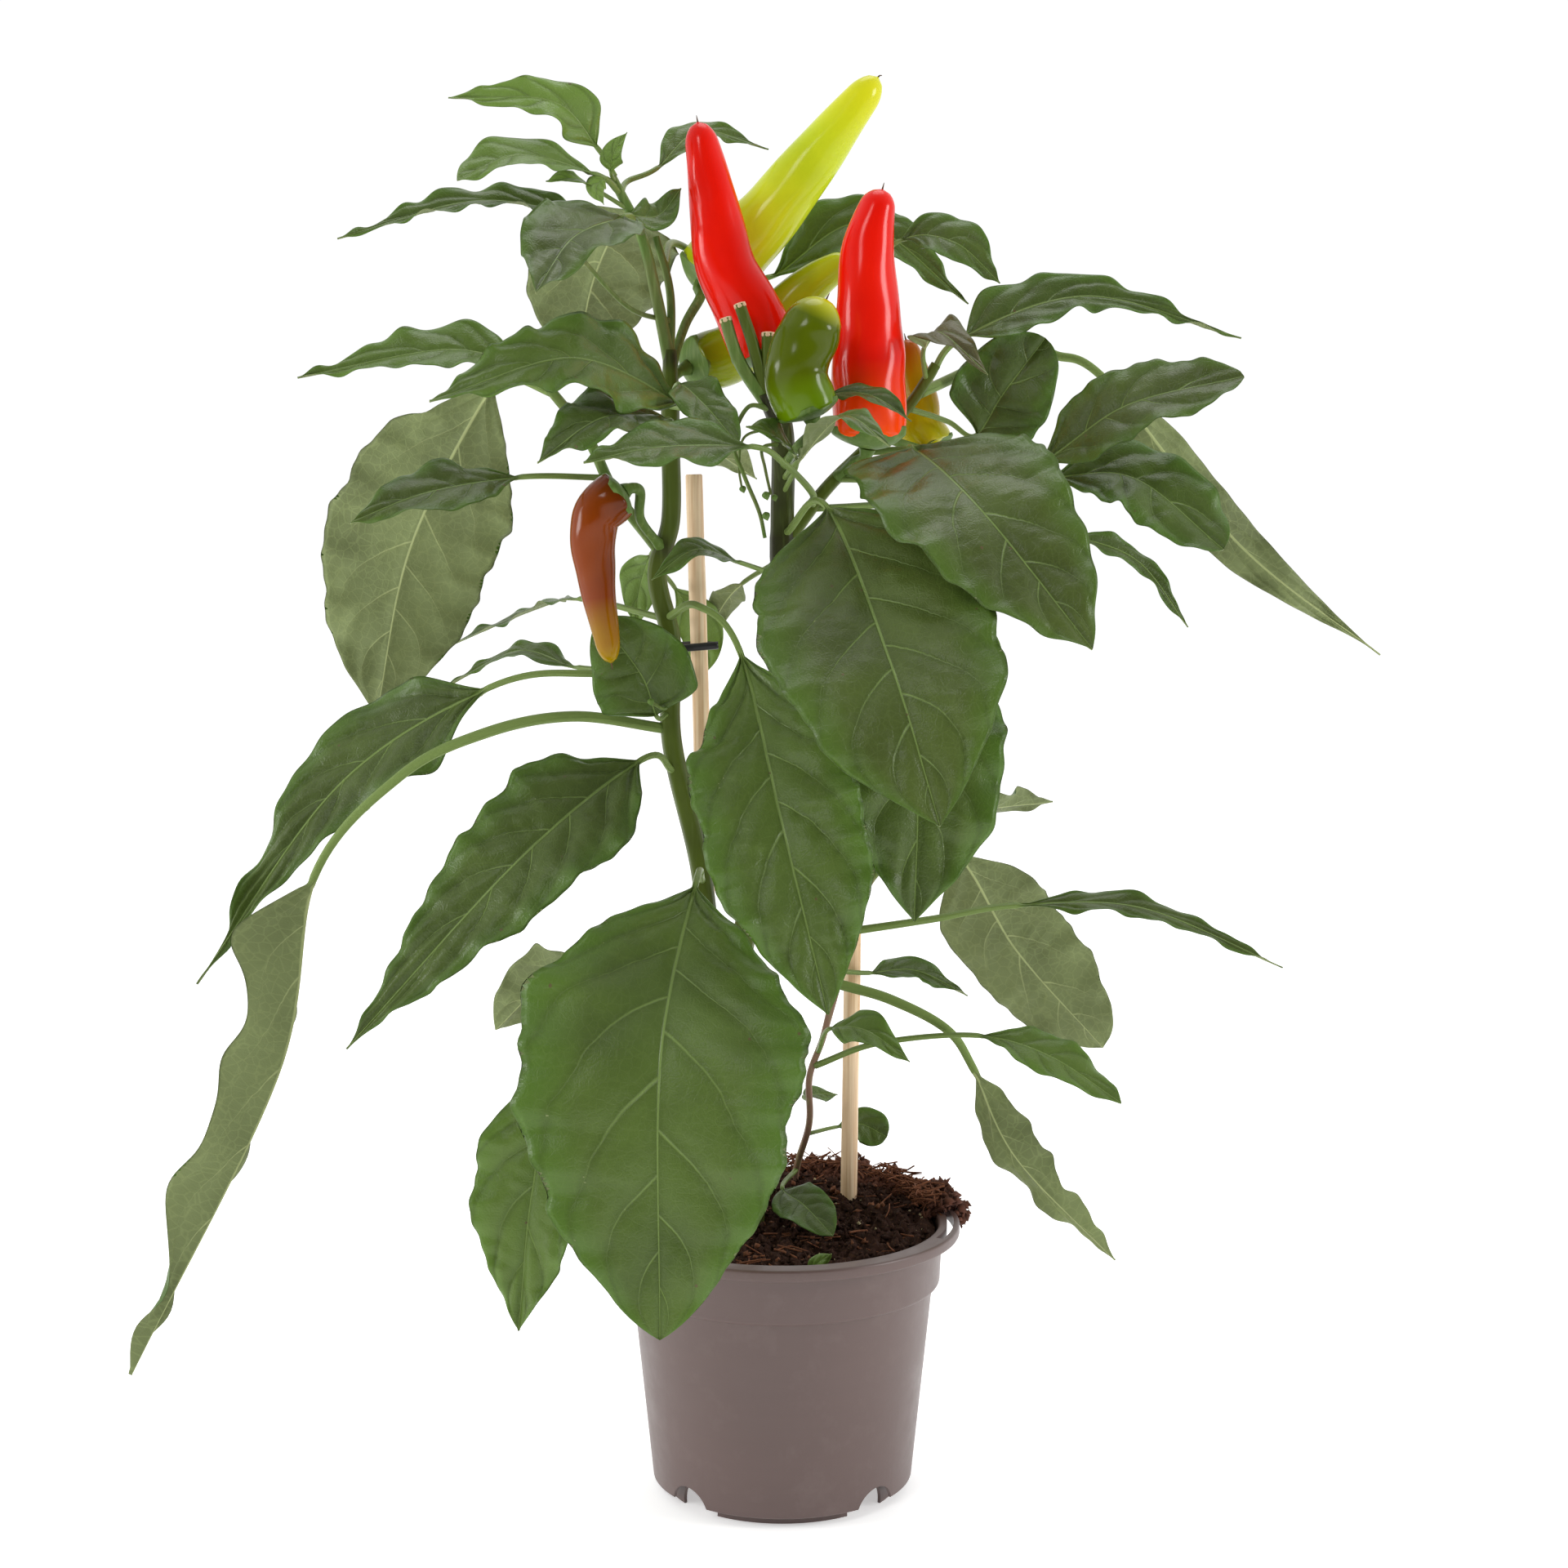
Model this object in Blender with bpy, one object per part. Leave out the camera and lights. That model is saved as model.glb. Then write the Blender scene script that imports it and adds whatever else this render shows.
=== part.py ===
"""A young chilli pepper plant in a round grower pot, with two canes and a tie.

The pot stands on z = 0 with its axis on Z. Routes and sizes are in millimetres and become metres
where a mesh is made. Leaves, pods and stems are sweeps along smooth curves.
"""

import math

import bmesh
import bpy
from mathutils import Vector

MM = 0.001
GAP = 0.3

# Pot
TURNS = 48
RIM_RADIUS = 65.0
RIM_TOP = 99.3
RIM_UNDER = 95.2
BAND_RADIUS = 57.8
BAND_FOOT = 78.8
WALL_TOP_RADIUS = 55.2
WALL_FOOT_RADIUS = 47.7
WALL_FOOT = 3.8
FOOT_RADIUS = 42.5
WALL = 1.4
WALL_TOP = 77.0
EDGE = 0.7
FLOOR_UNDER = 11.0
FLOOR = 12.4
NOTCH_COUNT = 4
NOTCH_FIRST = 45
NOTCH_RADIUS = 8.8
NOTCH_CENTRE = 1.7
NOTCH_REACH = (36.7, 52.7)
NOTCH_SIDES = 32
SLOT_RADII = (60.4, 62.9)
SLOT_HEIGHTS = (90.0, 110.0)
SLOT_FIRST = -24
SLOT_SWEEP = 39
SLOT_STEPS = 12

# Soil
SOIL_FRONT = 93.0
SOIL_HEAP = 13.0
SOIL_BOTTOM = 13.0
SOIL_SHOULDER = 76.5
HEAP_STARTS = -20.0
HEAP_LENGTH = 65.0
HEAP_TURN = 0.4
HEAP_EDGE = 3.5
SOIL_RINGS = (0.22, 0.42, 0.62, 0.8, 0.92)

# Canes and tie
CANE_RADIUS = 3.15
CANE_SIDES = 16
TIE_RADIUS = 1.4
TIE_HEIGHT = 309.0
TIE_END = (-23, 2, 310)
CANES = {
    "cane_left": ((-23, 16, 30), (-32, 16, 371)),
    "cane_right": ((24, 20, 30), (28, 20, 358)),
}

# Sweeps
STEM_SIDES = 8
POD_SIDES = 10
LEAF_THICKNESS = 1.0
STALK_RADIUS = 0.9

# Every route is laid out on a 5 mm grid.
TRUNK = ((-10, 5, 70), (-10, 5, 95), (-15, 5, 140), (-25, 5, 190), (-30, 5, 230), (-40, 5, 275),
         (-40, 5, 310), (-45, 5, 335), (-40, 5, 355), (-40, 5, 385), (-40, 5, 415))
LEADER = ((-40, 5, 410), (-45, 5, 435), (-50, 5, 455), (-60, 5, 475))
SECOND_LEADER = ((-40, 5, 410), (-40, 10, 435), (-45, 10, 455))
LEFT_BRANCH = ((-45, 5, 345), (-60, 0, 365), (-70, 0, 385), (-90, 0, 410))
FORK = ((-20, 5, 170), (-10, 0, 225), (0, 0, 275), (0, 0, 325), (0, 0, 355), (0, -5, 385), (-5, -10, 400))
STUB_LEFT = ((-5, -10, 395), (-15, -10, 410), (-20, -10, 425))
STUB_MIDDLE = ((-5, -10, 395), (-10, -10, 415), (-15, -10, 430))
STUB_RIGHT = ((-5, -10, 395), (-5, -10, 410), (-5, -10, 420))
RIGHT_BRANCH = ((0, 0, 345), (15, 5, 365), (30, 10, 380), (45, 10, 395), (55, 10, 410))
SIDE_SHOOT = ((5, 40, 80), (5, 40, 105), (10, 20, 130), (10, 10, 150), (15, 10, 165), (20, 10, 185),
              (25, 10, 205), (30, 10, 220), (40, 15, 230), (60, 30, 235))

# Stem name: route, radius at its foot, radius at its end
STEMS = {
    "trunk": (TRUNK, 4.0, 3.2),
    "leader": (LEADER, 2.3, 1.6),
    "second_leader": (SECOND_LEADER, 1.6, 1.3),
    "left_branch": (LEFT_BRANCH, 2.2, 1.7),
    "fork": (FORK, 4.2, 3.8),
    "stub_left": (STUB_LEFT, 2.4, 2.1),
    "stub_middle": (STUB_MIDDLE, 2.2, 2.0),
    "stub_right": (STUB_RIGHT, 2.4, 2.2),
    "right_branch": (RIGHT_BRANCH, 2.6, 1.8),
    "side_shoot": (SIDE_SHOOT, 1.8, 1.4),
}
GROWN_ON_TRUNK = ("leader", "second_leader", "left_branch", "fork", "stub_left", "stub_middle",
                  "stub_right", "right_branch")

# Pod name: stem, height on it, stalk points, pod points from its shoulder to its tip, radius, colour
PODS = {
    "chilli_red_left": (
        "fork", 385, ((0, 5, 395),),
        ((-5, 10, 410), (-10, 10, 425), (-20, 10, 445), (-25, 10, 470), (-30, 10, 495)), 12.5, "red"),
    "chilli_yellow_top": (
        "trunk", 410, ((-35, 20, 425), (-30, 30, 435)),
        ((-30, 40, 440), (-20, 40, 450), (-5, 40, 465), (15, 40, 490), (35, 40, 515)), 13.5, "yellow"),
    "chilli_yellow_back": (
        "trunk", 400, ((-40, 20, 405),),
        ((-35, 35, 410), (-20, 40, 415), (-5, 40, 425), (10, 40, 440), (25, 40, 450)), 11.0, "yellow"),
    "chilli_red_right": (
        "right_branch", 370, ((25, 0, 375),),
        ((30, -5, 380), (30, -5, 405), (30, -5, 425), (30, -5, 450), (35, -5, 470)), 13.5, "red"),
    "chilli_green_small": (
        "fork", 375, ((5, -20, 380), (10, -30, 385)),
        ((10, -35, 390), (5, -35, 405), (10, -35, 420), (15, -35, 430)), 11.0, "green"),
    "chilli_orange_hanging": (
        "trunk", 345, ((-50, -10, 355), (-50, -15, 365)),
        ((-55, -20, 365), (-65, -20, 355), (-65, -20, 335), (-60, -20, 305)), 9.0, "orange"),
    "chilli_green_right": (
        "right_branch", 385, ((50, 20, 380),),
        ((55, 30, 380), (50, 30, 390), (50, 30, 400), (45, 30, 420)), 9.0, "green"),
}

# Leaf name: stem, height on it, stalk points, (heel, middle, tip), width, where its top looks
# (degrees round from +X, degrees above level), how far its edges rise
LEAVES = {
    "leaf_crown_1": (
        "leader", 475, (), ((-65, 5, 485), (-80, -5, 500), (-115, -15, 500)), 19, (-90, 30), 0.2),
    "leaf_crown_2": (
        "leader", 470, (), ((-65, -5, 475), (-90, -20, 480), (-110, -35, 470)), 19, (-100, 45), 0.2),
    "leaf_crown_3": (
        "leader", 470, ((-55, 15, 475),),
        ((-45, 20, 480), (-30, 35, 495), (-5, 45, 490)), 13, (-90, 50), 0.2),
    "leaf_crown_4": (
        "leader", 460, (), ((-65, 0, 460), (-105, -15, 465), (-150, -40, 450)), 15, (-90, 55), 0.3),
    "leaf_crown_5": (
        "leader", 460, (), ((-55, -10, 460), (-70, -45, 450), (-80, -75, 430)), 36, (-90, 40), 0.2),
    "leaf_crown_6": (
        "leader", 450, (), ((-55, 20, 465), (-70, 55, 445), (-80, 80, 410)), 54, (90, 40), 0.1),
    "leaf_left_1": (
        "left_branch", 405, (), ((-95, 5, 410), (-120, 0, 415), (-170, -10, 405)), 26, (-90, 50), 0.2),
    "leaf_left_2": (
        "left_branch", 400, ((-95, 15, 405),), ((-105, 30, 405), (-140, 55, 345), (-155, 60, 280)),
        64, (90, 30), 0.1),
    "leaf_left_3": (
        "trunk", 395, (), ((-35, -20, 395), (-70, -45, 410), (-115, -75, 395)), 38, (-90, 40), 0.1),
    "leaf_left_4": (
        "trunk", 380, (), ((-40, -15, 390), (-60, -50, 390), (-80, -75, 375)), 29, (-90, 45), 0.1),
    "leaf_left_5": (
        "left_branch", 370, (), ((-90, -25, 370), (-120, -45, 365), (-145, -55, 355)), 26, (-90, 50), 0.1),
    "leaf_left_6": (
        "trunk", 320, (), ((-75, 40, 325), (-95, 70, 320), (-130, 90, 305)), 12, (-90, 70), 0.1),
    "leaf_left_7": (
        "trunk", 300, (), ((-75, 30, 300), (-100, 50, 305), (-130, 65, 290)), 14, (-90, 65), 0.1),
    "leaf_left_8": (
        "trunk", 295, ((-70, 0, 300),),
        ((-105, 0, 295), (-160, 0, 260), (-210, -15, 190)), 42, (-110, 35), 0.1),
    "leaf_left_9": (
        "trunk", 280, ((-75, -5, 285), (-105, -15, 280), (-135, -20, 265)),
        ((-165, -25, 230), (-175, -50, 165), (-220, -85, 70)), 34, (160, 15), 0.7),
    "leaf_left_10": (
        "trunk", 265, (), ((-50, -10, 270), (-90, -45, 240), (-150, -55, 175)), 48, (-100, 30), 0.1),
    "leaf_left_11": (
        "trunk", 285, (), ((-45, -5, 285), (-50, -10, 300), (-65, -10, 320)), 36, (-90, 10), 0.1),
    "leaf_front_1": (
        "right_branch", 360, ((10, -20, 365), (0, -40, 375)),
        ((-10, -55, 380), (-40, -65, 380), (-65, -75, 375)), 27, (-90, 55), 0.1),
    "leaf_front_2": ("fork", 370, (), ((5, -25, 375), (20, -60, 390), (35, -80, 380)), 14, (-90, 60), 0.2),
    "leaf_front_3": (
        "right_branch", 370, ((45, -10, 370),), ((45, -25, 380), (65, -70, 360), (100, -95, 315)), 64, (-80, 25), 0.1),
    "leaf_front_4": (
        "fork", 350, (), ((15, -30, 360), (35, -95, 310), (50, -115, 260)), 76, (-95, 30), 0.1),
    "leaf_front_5": (
        "trunk", 320, ((-30, -15, 325),),
        ((-15, -25, 310), (0, -75, 255), (15, -95, 195)), 56, (-90, 20), 0.1),
    "leaf_front_6": ("fork", 320, (), ((30, -10, 320), (45, -50, 275), (45, -60, 220)), 64, (-80, 20), 0.1),
    "leaf_front_7": (
        "fork", 330, ((20, 5, 340),), ((50, 20, 335), (70, 20, 305), (65, 10, 260)), 20, (-80, 30), 0.1),
    "leaf_front_8": (
        "trunk", 225, (), ((-30, -40, 230), (-40, -95, 180), (-40, -110, 90)), 94, (-90, 15), 0.1),
    "leaf_front_9": (
        "fork", 335, (), ((-15, -10, 340), (-30, -25, 345), (-45, -35, 335)), 13, (-90, 50), 0.1),
    "leaf_back_1": (
        "trunk", 330, ((-45, 20, 335),),
        ((-40, 30, 330), (-30, 45, 310), (-35, 50, 290)), 17, (-90, 20), 0.1),
    "leaf_back_2": (
        "trunk", 380, ((-35, 15, 380),),
        ((-30, 30, 380), (-25, 60, 380), (-10, 80, 370)), 22, (90, 50), 0.1),
    "leaf_back_3": ("fork", 300, (), ((15, 45, 300), (25, 85, 280), (30, 115, 235)), 45, (90, 40), 0.1),
    "leaf_back_4": (
        "trunk", 200, ((-45, 20, 205),), ((-45, 45, 205), (-45, 80, 185), (-45, 105, 130)), 36, (90, 40), 0.1),
    "leaf_back_5": (
        "trunk", 190, ((-50, 10, 190),),
        ((-70, 20, 190), (-90, 40, 180), (-110, 50, 160)), 28, (90, 30), 0.2),
    "leaf_right_1": (
        "second_leader", 445, ((-40, 35, 455), (-25, 65, 450)),
        ((-5, 65, 445), (30, 65, 465), (70, 60, 435)), 25, (-90, 35), 0.2),
    "leaf_right_2": (
        "right_branch", 405, (), ((65, 15, 420), (110, 20, 435), (165, 15, 420)), 25, (-90, 45), 0.2),
    "leaf_right_3": (
        "right_branch", 405, (), ((50, 0, 415), (55, -15, 420), (70, -35, 405)), 17, (-90, 50), 0.2),
    "leaf_right_4": (
        "right_branch", 395, ((60, 20, 390),),
        ((70, 20, 385), (80, 20, 400), (95, 20, 420)), 35, (-90, 10), 0.1),
    "leaf_right_5": (
        "right_branch", 380, ((70, -5, 380),), ((90, -5, 375), (120, -15, 395), (160, -20, 405)),
        32, (-90, 45), 0.1),
    "leaf_right_6": (
        "right_branch", 375, ((70, 10, 370),),
        ((95, 10, 370), (125, 0, 370), (155, -15, 345)), 34, (-90, 45), 0.1),
    "leaf_right_7": (
        "right_branch", 400, ((70, 35, 410), (85, 40, 420), (100, 40, 415)),
        ((120, 40, 405), (170, 40, 345), (220, 25, 305)), 20, (110, 20), 0.4),
    "leaf_right_8": (
        "right_branch", 360, ((60, 20, 360),),
        ((100, 25, 350), (130, 30, 340), (150, 30, 315)), 11, (-90, 50), 0.2),
    "leaf_low_1": (
        "side_shoot", 235, (), ((70, 40, 245), (85, 60, 245), (105, 75, 245)), 20, (90, 40), 0.1),
    "leaf_low_2": (
        "side_shoot", 230, (), ((65, 35, 230), (90, 55, 190), (125, 65, 150)), 44, (90, 30), 0.1),
    "leaf_low_3": (
        "side_shoot", 205, ((55, 5, 210),),
        ((85, 5, 215), (130, 0, 215), (180, -10, 195)), 13, (-90, 60), 0.1),
    "leaf_low_4": (
        "side_shoot", 185, ((40, 5, 180), (60, 0, 170)), ((70, 0, 155), (85, -10, 125), (120, -20, 90)),
        20, (70, 20), 0.3),
    "leaf_low_5": (
        "side_shoot", 155, ((35, 0, 165),),
        ((70, -10, 170), (95, -20, 165), (120, -30, 150)), 18, (-90, 55), 0.1),
    "leaf_low_6": (
        "side_shoot", 125, (), ((20, 35, 125), (30, 40, 125), (40, 40, 120)), 14, (-90, 20), 0.1),
    "leaf_low_7": (
        "trunk", 150, ((-45, 0, 155),),
        ((-80, -10, 155), (-90, -20, 115), (-95, -25, 65)), 42, (-100, 20), 0.2),
}

# Share of a blade taken by its heel, where it is widest, and how it narrows to its tip
OUTLINE = (0.34, 0.36, 1.25)
OUTLINES = {
    "leaf_crown_1": (0.30, 0.30, 1.0),
    "leaf_crown_2": (0.40, 0.60, 0.8),
    "leaf_crown_4": (0.30, 0.40, 1.3),
    "leaf_crown_5": (0.30, 0.35, 1.0),
    "leaf_crown_6": (0.30, 0.40, 0.9),
    "leaf_left_2": (0.40, 0.50, 0.9),
    "leaf_left_6": (0.40, 0.50, 0.8),
    "leaf_left_8": (0.30, 0.30, 1.9),
    "leaf_left_9": (0.20, 0.45, 1.1),
    "leaf_left_10": (0.32, 0.35, 1.3),
    "leaf_left_11": (0.30, 0.45, 0.7),
    "leaf_front_3": (0.20, 0.40, 0.9),
    "leaf_front_4": (0.30, 0.40, 0.95),
    "leaf_front_5": (0.40, 0.50, 1.0),
    "leaf_front_6": (0.35, 0.45, 1.0),
    "leaf_front_7": (0.30, 0.40, 0.8),
    "leaf_front_8": (0.45, 0.50, 0.85),
    "leaf_back_5": (0.35, 0.45, 0.8),
    "leaf_right_2": (0.18, 0.22, 1.9),
    "leaf_right_4": (0.30, 0.50, 0.55),
    "leaf_right_5": (0.35, 0.50, 0.6),
    "leaf_right_6": (0.45, 0.62, 0.55),
    "leaf_right_7": (0.25, 0.32, 1.7),
    "leaf_low_2": (0.35, 0.55, 0.55),
    "leaf_low_4": (0.35, 0.40, 1.0),
    "leaf_low_5": (0.35, 0.50, 0.8),
    "leaf_low_6": (0.60, 0.70, 0.5),
    "leaf_low_7": (0.35, 0.45, 1.1),
}

COLOURS = {
    "pot_plastic": ((0.175, 0.130, 0.118), 0.55),
    "peat": ((0.030, 0.017, 0.010), 0.95),
    "bamboo": ((0.520, 0.400, 0.230), 0.60),
    "tie_plastic": ((0.012, 0.012, 0.013), 0.45),
    "stem": ((0.100, 0.130, 0.055), 0.50),
    "shoot": ((0.120, 0.180, 0.060), 0.50),
    "leaf": ((0.070, 0.130, 0.035), 0.45),
    "red": ((0.420, 0.020, 0.012), 0.20),
    "yellow": ((0.520, 0.480, 0.090), 0.22),
    "green": ((0.120, 0.240, 0.035), 0.25),
    "orange": ((0.480, 0.140, 0.020), 0.18),
}


def clear_scene():
    for obj in list(bpy.data.objects):
        bpy.data.objects.remove(obj)


def material(name):
    found = bpy.data.materials.get(name)
    if found:
        return found
    colour, roughness = COLOURS[name]
    made = bpy.data.materials.new(name)
    made.use_nodes = True
    shader = made.node_tree.nodes["Principled BSDF"]
    shader.inputs["Base Color"].default_value = (*colour, 1.0)
    shader.inputs["Roughness"].default_value = roughness
    return made


def add_object(name, bm, material_name):
    """Turns a bmesh in millimetres into an object in metres."""
    bmesh.ops.scale(bm, vec=(MM, MM, MM), verts=bm.verts)
    bmesh.ops.recalc_face_normals(bm, faces=bm.faces)
    mesh = bpy.data.meshes.new(name)
    bm.to_mesh(mesh)
    bm.free()
    mesh.materials.append(material(material_name))
    mesh.shade_smooth()
    mesh.set_sharp_from_angle(angle=math.radians(40))
    obj = bpy.data.objects.new(name, mesh)
    bpy.context.scene.collection.objects.link(obj)
    return obj


def boolean(target, tool, operation):
    """Cuts the target with the tool, or joins them, and leaves the tool out of the model."""
    modifier = target.modifiers.new(tool.name, "BOOLEAN")
    modifier.operation = operation
    modifier.solver = "EXACT"
    modifier.object = tool
    tool.hide_render = True
    tool.display_type = "WIRE"


def on_curve(points, t):
    """The point at t on the smooth curve that passes points[0] at t = 0, points[1] at t = 1 and so on."""
    last = len(points) - 1
    i = min(int(t), last - 1)
    u = t - i
    p1 = Vector(points[i])
    p2 = Vector(points[i + 1])
    p0 = Vector(points[i - 1]) if i > 0 else 2 * p1 - p2
    p3 = Vector(points[i + 2]) if i + 2 <= last else 2 * p2 - p1
    return 0.5 * (2 * p1 + (p2 - p0) * u + (2 * p0 - 5 * p1 + 4 * p2 - p3) * u**2
                  + (3 * p1 - p0 - 3 * p2 + p3) * u**3)


def sweep(centres, rings):
    """A closed body through rings of points, with a fan of faces at each end."""
    bm = bmesh.new()
    loops = [[bm.verts.new(point) for point in ring] for ring in rings]
    sides = len(loops[0])
    for near, far in zip(loops, loops[1:]):
        for k in range(sides):
            after = (k + 1) % sides
            bm.faces.new((near[k], near[after], far[after], far[k]))
    for loop, centre in ((loops[0], centres[0]), (loops[-1], centres[-1])):
        middle = bm.verts.new(centre)
        for k in range(sides):
            bm.faces.new((loop[k], loop[(k + 1) % sides], middle))
    return bm


def tangents(centres):
    """The heading of a line at each of its points."""
    last = len(centres) - 1
    return [(centres[min(i + 1, last)] - centres[max(i - 1, 0)]).normalized() for i in range(last + 1)]


def round_sweep(centres, radii, sides):
    """A round body along the centres, its rings turned as little as possible from one to the next."""
    along = tangents(centres)
    across = along[0].orthogonal().normalized()
    rings = []
    for centre, tangent, radius in zip(centres, along, radii):
        across = (across - tangent * across.dot(tangent)).normalized()
        other = tangent.cross(across)
        angles = [2 * math.pi * k / sides for k in range(sides)]
        rings.append([centre + radius * (math.cos(a) * across + math.sin(a) * other) for a in angles])
    return sweep(centres, rings)


def stem_body(name, extra=0.0):
    """A stem as a tapering round sweep, or its socket when extra is the clearance round it."""
    route, foot, end = STEMS[name]
    count = 2 * (len(route) - 1) + 1
    ts = [0.5 * k for k in range(count)]
    centres = [on_curve(route, t) for t in ts]
    if extra:
        centres[0] = centres[0] - Vector((0, 0, extra))
    radii = [foot + (end - foot) * k / (count - 1) + extra for k in range(count)]
    return round_sweep(centres, radii, STEM_SIDES)


def stem_at(name, height):
    """The centre and the radius of a stem where it passes the height."""
    route, foot, end = STEMS[name]
    spans = len(route) - 1
    steps = 40 * spans
    best = min(range(steps + 1), key=lambda k: abs(on_curve(route, k * spans / steps).z - height))
    return on_curve(route, best * spans / steps), foot + (end - foot) * best / steps


def stem_direction(name, height):
    """The heading of a stem where it passes the height."""
    low, _ = stem_at(name, height - 4)
    high, _ = stem_at(name, height + 4)
    return (high - low).normalized()


def joint_point(stem, height, towards):
    """Where a stalk meets a stem's side: out from its centre, square to it, towards the next point."""
    centre, radius = stem_at(stem, height)
    axis = stem_direction(stem, height)
    out = Vector(towards) - centre
    out = (out - axis * out.dot(axis)).normalized()
    return centre + out * (radius + STALK_RADIUS + 2 * GAP)


def blade_width(s, heel, widest, tip):
    """The share of its full width that a blade has at s, from its heel at 0 to its tip at 1."""
    opened = min(max(s / heel, 0.0), 1.0)
    u = min(max((s - widest) / (1 - widest), 0.0), 1.0)
    return (opened * opened * (3 - 2 * opened)) ** 0.8 * (1 - u * u) ** tip


def leaf_body(outline, stem, height, stalk, blade, width, looks, rise):
    """A leaf: a round stalk, then a flat blade of even thickness, folded by its rise, along its midrib."""
    start = joint_point(stem, height, (stalk + blade)[0])
    route = (start,) + stalk + blade
    heel = len(stalk) + 1
    ts = [0.5 * k for k in range(2 * heel + 1)] + [heel + 0.25 * k for k in range(1, 9)]
    centres = [on_curve(route, t) for t in ts]
    around, above = (math.radians(a) for a in looks)
    top = Vector((math.cos(around) * math.cos(above), math.sin(around) * math.cos(above), math.sin(above)))
    rings = []
    for t, centre, tangent in zip(ts, centres, tangents(centres)):
        normal = (top - tangent * top.dot(tangent)).normalized()
        side = tangent.cross(normal)
        s = (t - heel) / 2
        half = max(width / 2 * blade_width(s, *outline), STALK_RADIUS if s < 0.5 else 0.5)
        thick = STALK_RADIUS if s <= 0 else LEAF_THICKNESS / 2
        lift = rise if s > 0 else 0.0
        ring = []
        for across, up in ((-1, 0), (-0.45, 1), (0.45, 1), (1, 0), (0.45, -1), (-0.45, -1)):
            ring.append(centre + side * half * across + normal * (thick * up + lift * half * abs(across)))
        rings.append(ring)
    return sweep(centres, rings)


def pod_radius(s):
    """The share of its full radius that a pod has at s, from its shoulder at 0 to its tip at 1."""
    shoulder = min(1.0, 0.62 + 2.2 * s)
    return shoulder * max(1 - s**2.6, 0.05) ** 0.8


def pod_body(stem, height, stalk, pod, radius):
    """A pod with its stalk: a round sweep that widens at the shoulder and closes at the tip."""
    start = joint_point(stem, height, (stalk + pod)[0])
    route = (start,) + stalk + pod
    shoulder = len(stalk) + 1
    spans = len(pod) - 1
    ts = [0.5 * k for k in range(2 * shoulder)]
    radii = [1.2 for _ in ts]
    for k in range(2 * spans + 1):
        ts.append(shoulder + 0.5 * k)
        radii.append(radius * pod_radius(k / (2 * spans)))
    return round_sweep([on_curve(route, t) for t in ts], radii, POD_SIDES)


def turned(profile):
    """A profile in (radius, height), from the axis round to the axis, spun about Z."""
    bm = bmesh.new()
    verts = [bm.verts.new((radius, 0, height)) for radius, height in profile]
    edges = [bm.edges.new(pair) for pair in zip(verts, verts[1:])]
    bmesh.ops.spin(bm, geom=verts + edges, cent=(0, 0, 0), axis=(0, 0, 1), angle=2 * math.pi,
                   steps=TURNS, use_merge=True)
    bmesh.ops.remove_doubles(bm, verts=bm.verts, dist=0.001)
    return bm


def wall_radius(height):
    """The outside radius of the pot's tapering wall at a height."""
    share = (height - WALL_FOOT) / (WALL_TOP - WALL_FOOT)
    return WALL_FOOT_RADIUS + (WALL_TOP_RADIUS - WALL_FOOT_RADIUS) * share


def bent_block():
    """The cutter of the slot in the rim: an upright block that follows the rim round."""
    bm = bmesh.new()
    (inner, outer), (low, high) = SLOT_RADII, SLOT_HEIGHTS
    rings = []
    for k in range(SLOT_STEPS + 1):
        angle = math.radians(SLOT_FIRST + SLOT_SWEEP * k / SLOT_STEPS)
        corners = ((inner, low), (outer, low), (outer, high), (inner, high))
        rings.append([bm.verts.new((r * math.cos(angle), r * math.sin(angle), z)) for r, z in corners])
    for near, far in zip(rings, rings[1:]):
        for k in range(4):
            after = (k + 1) % 4
            bm.faces.new((near[k], near[after], far[after], far[k]))
    bm.faces.new(rings[0][::-1])
    bm.faces.new(rings[-1])
    bmesh.ops.recalc_face_normals(bm, faces=bm.faces)
    return bm


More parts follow.
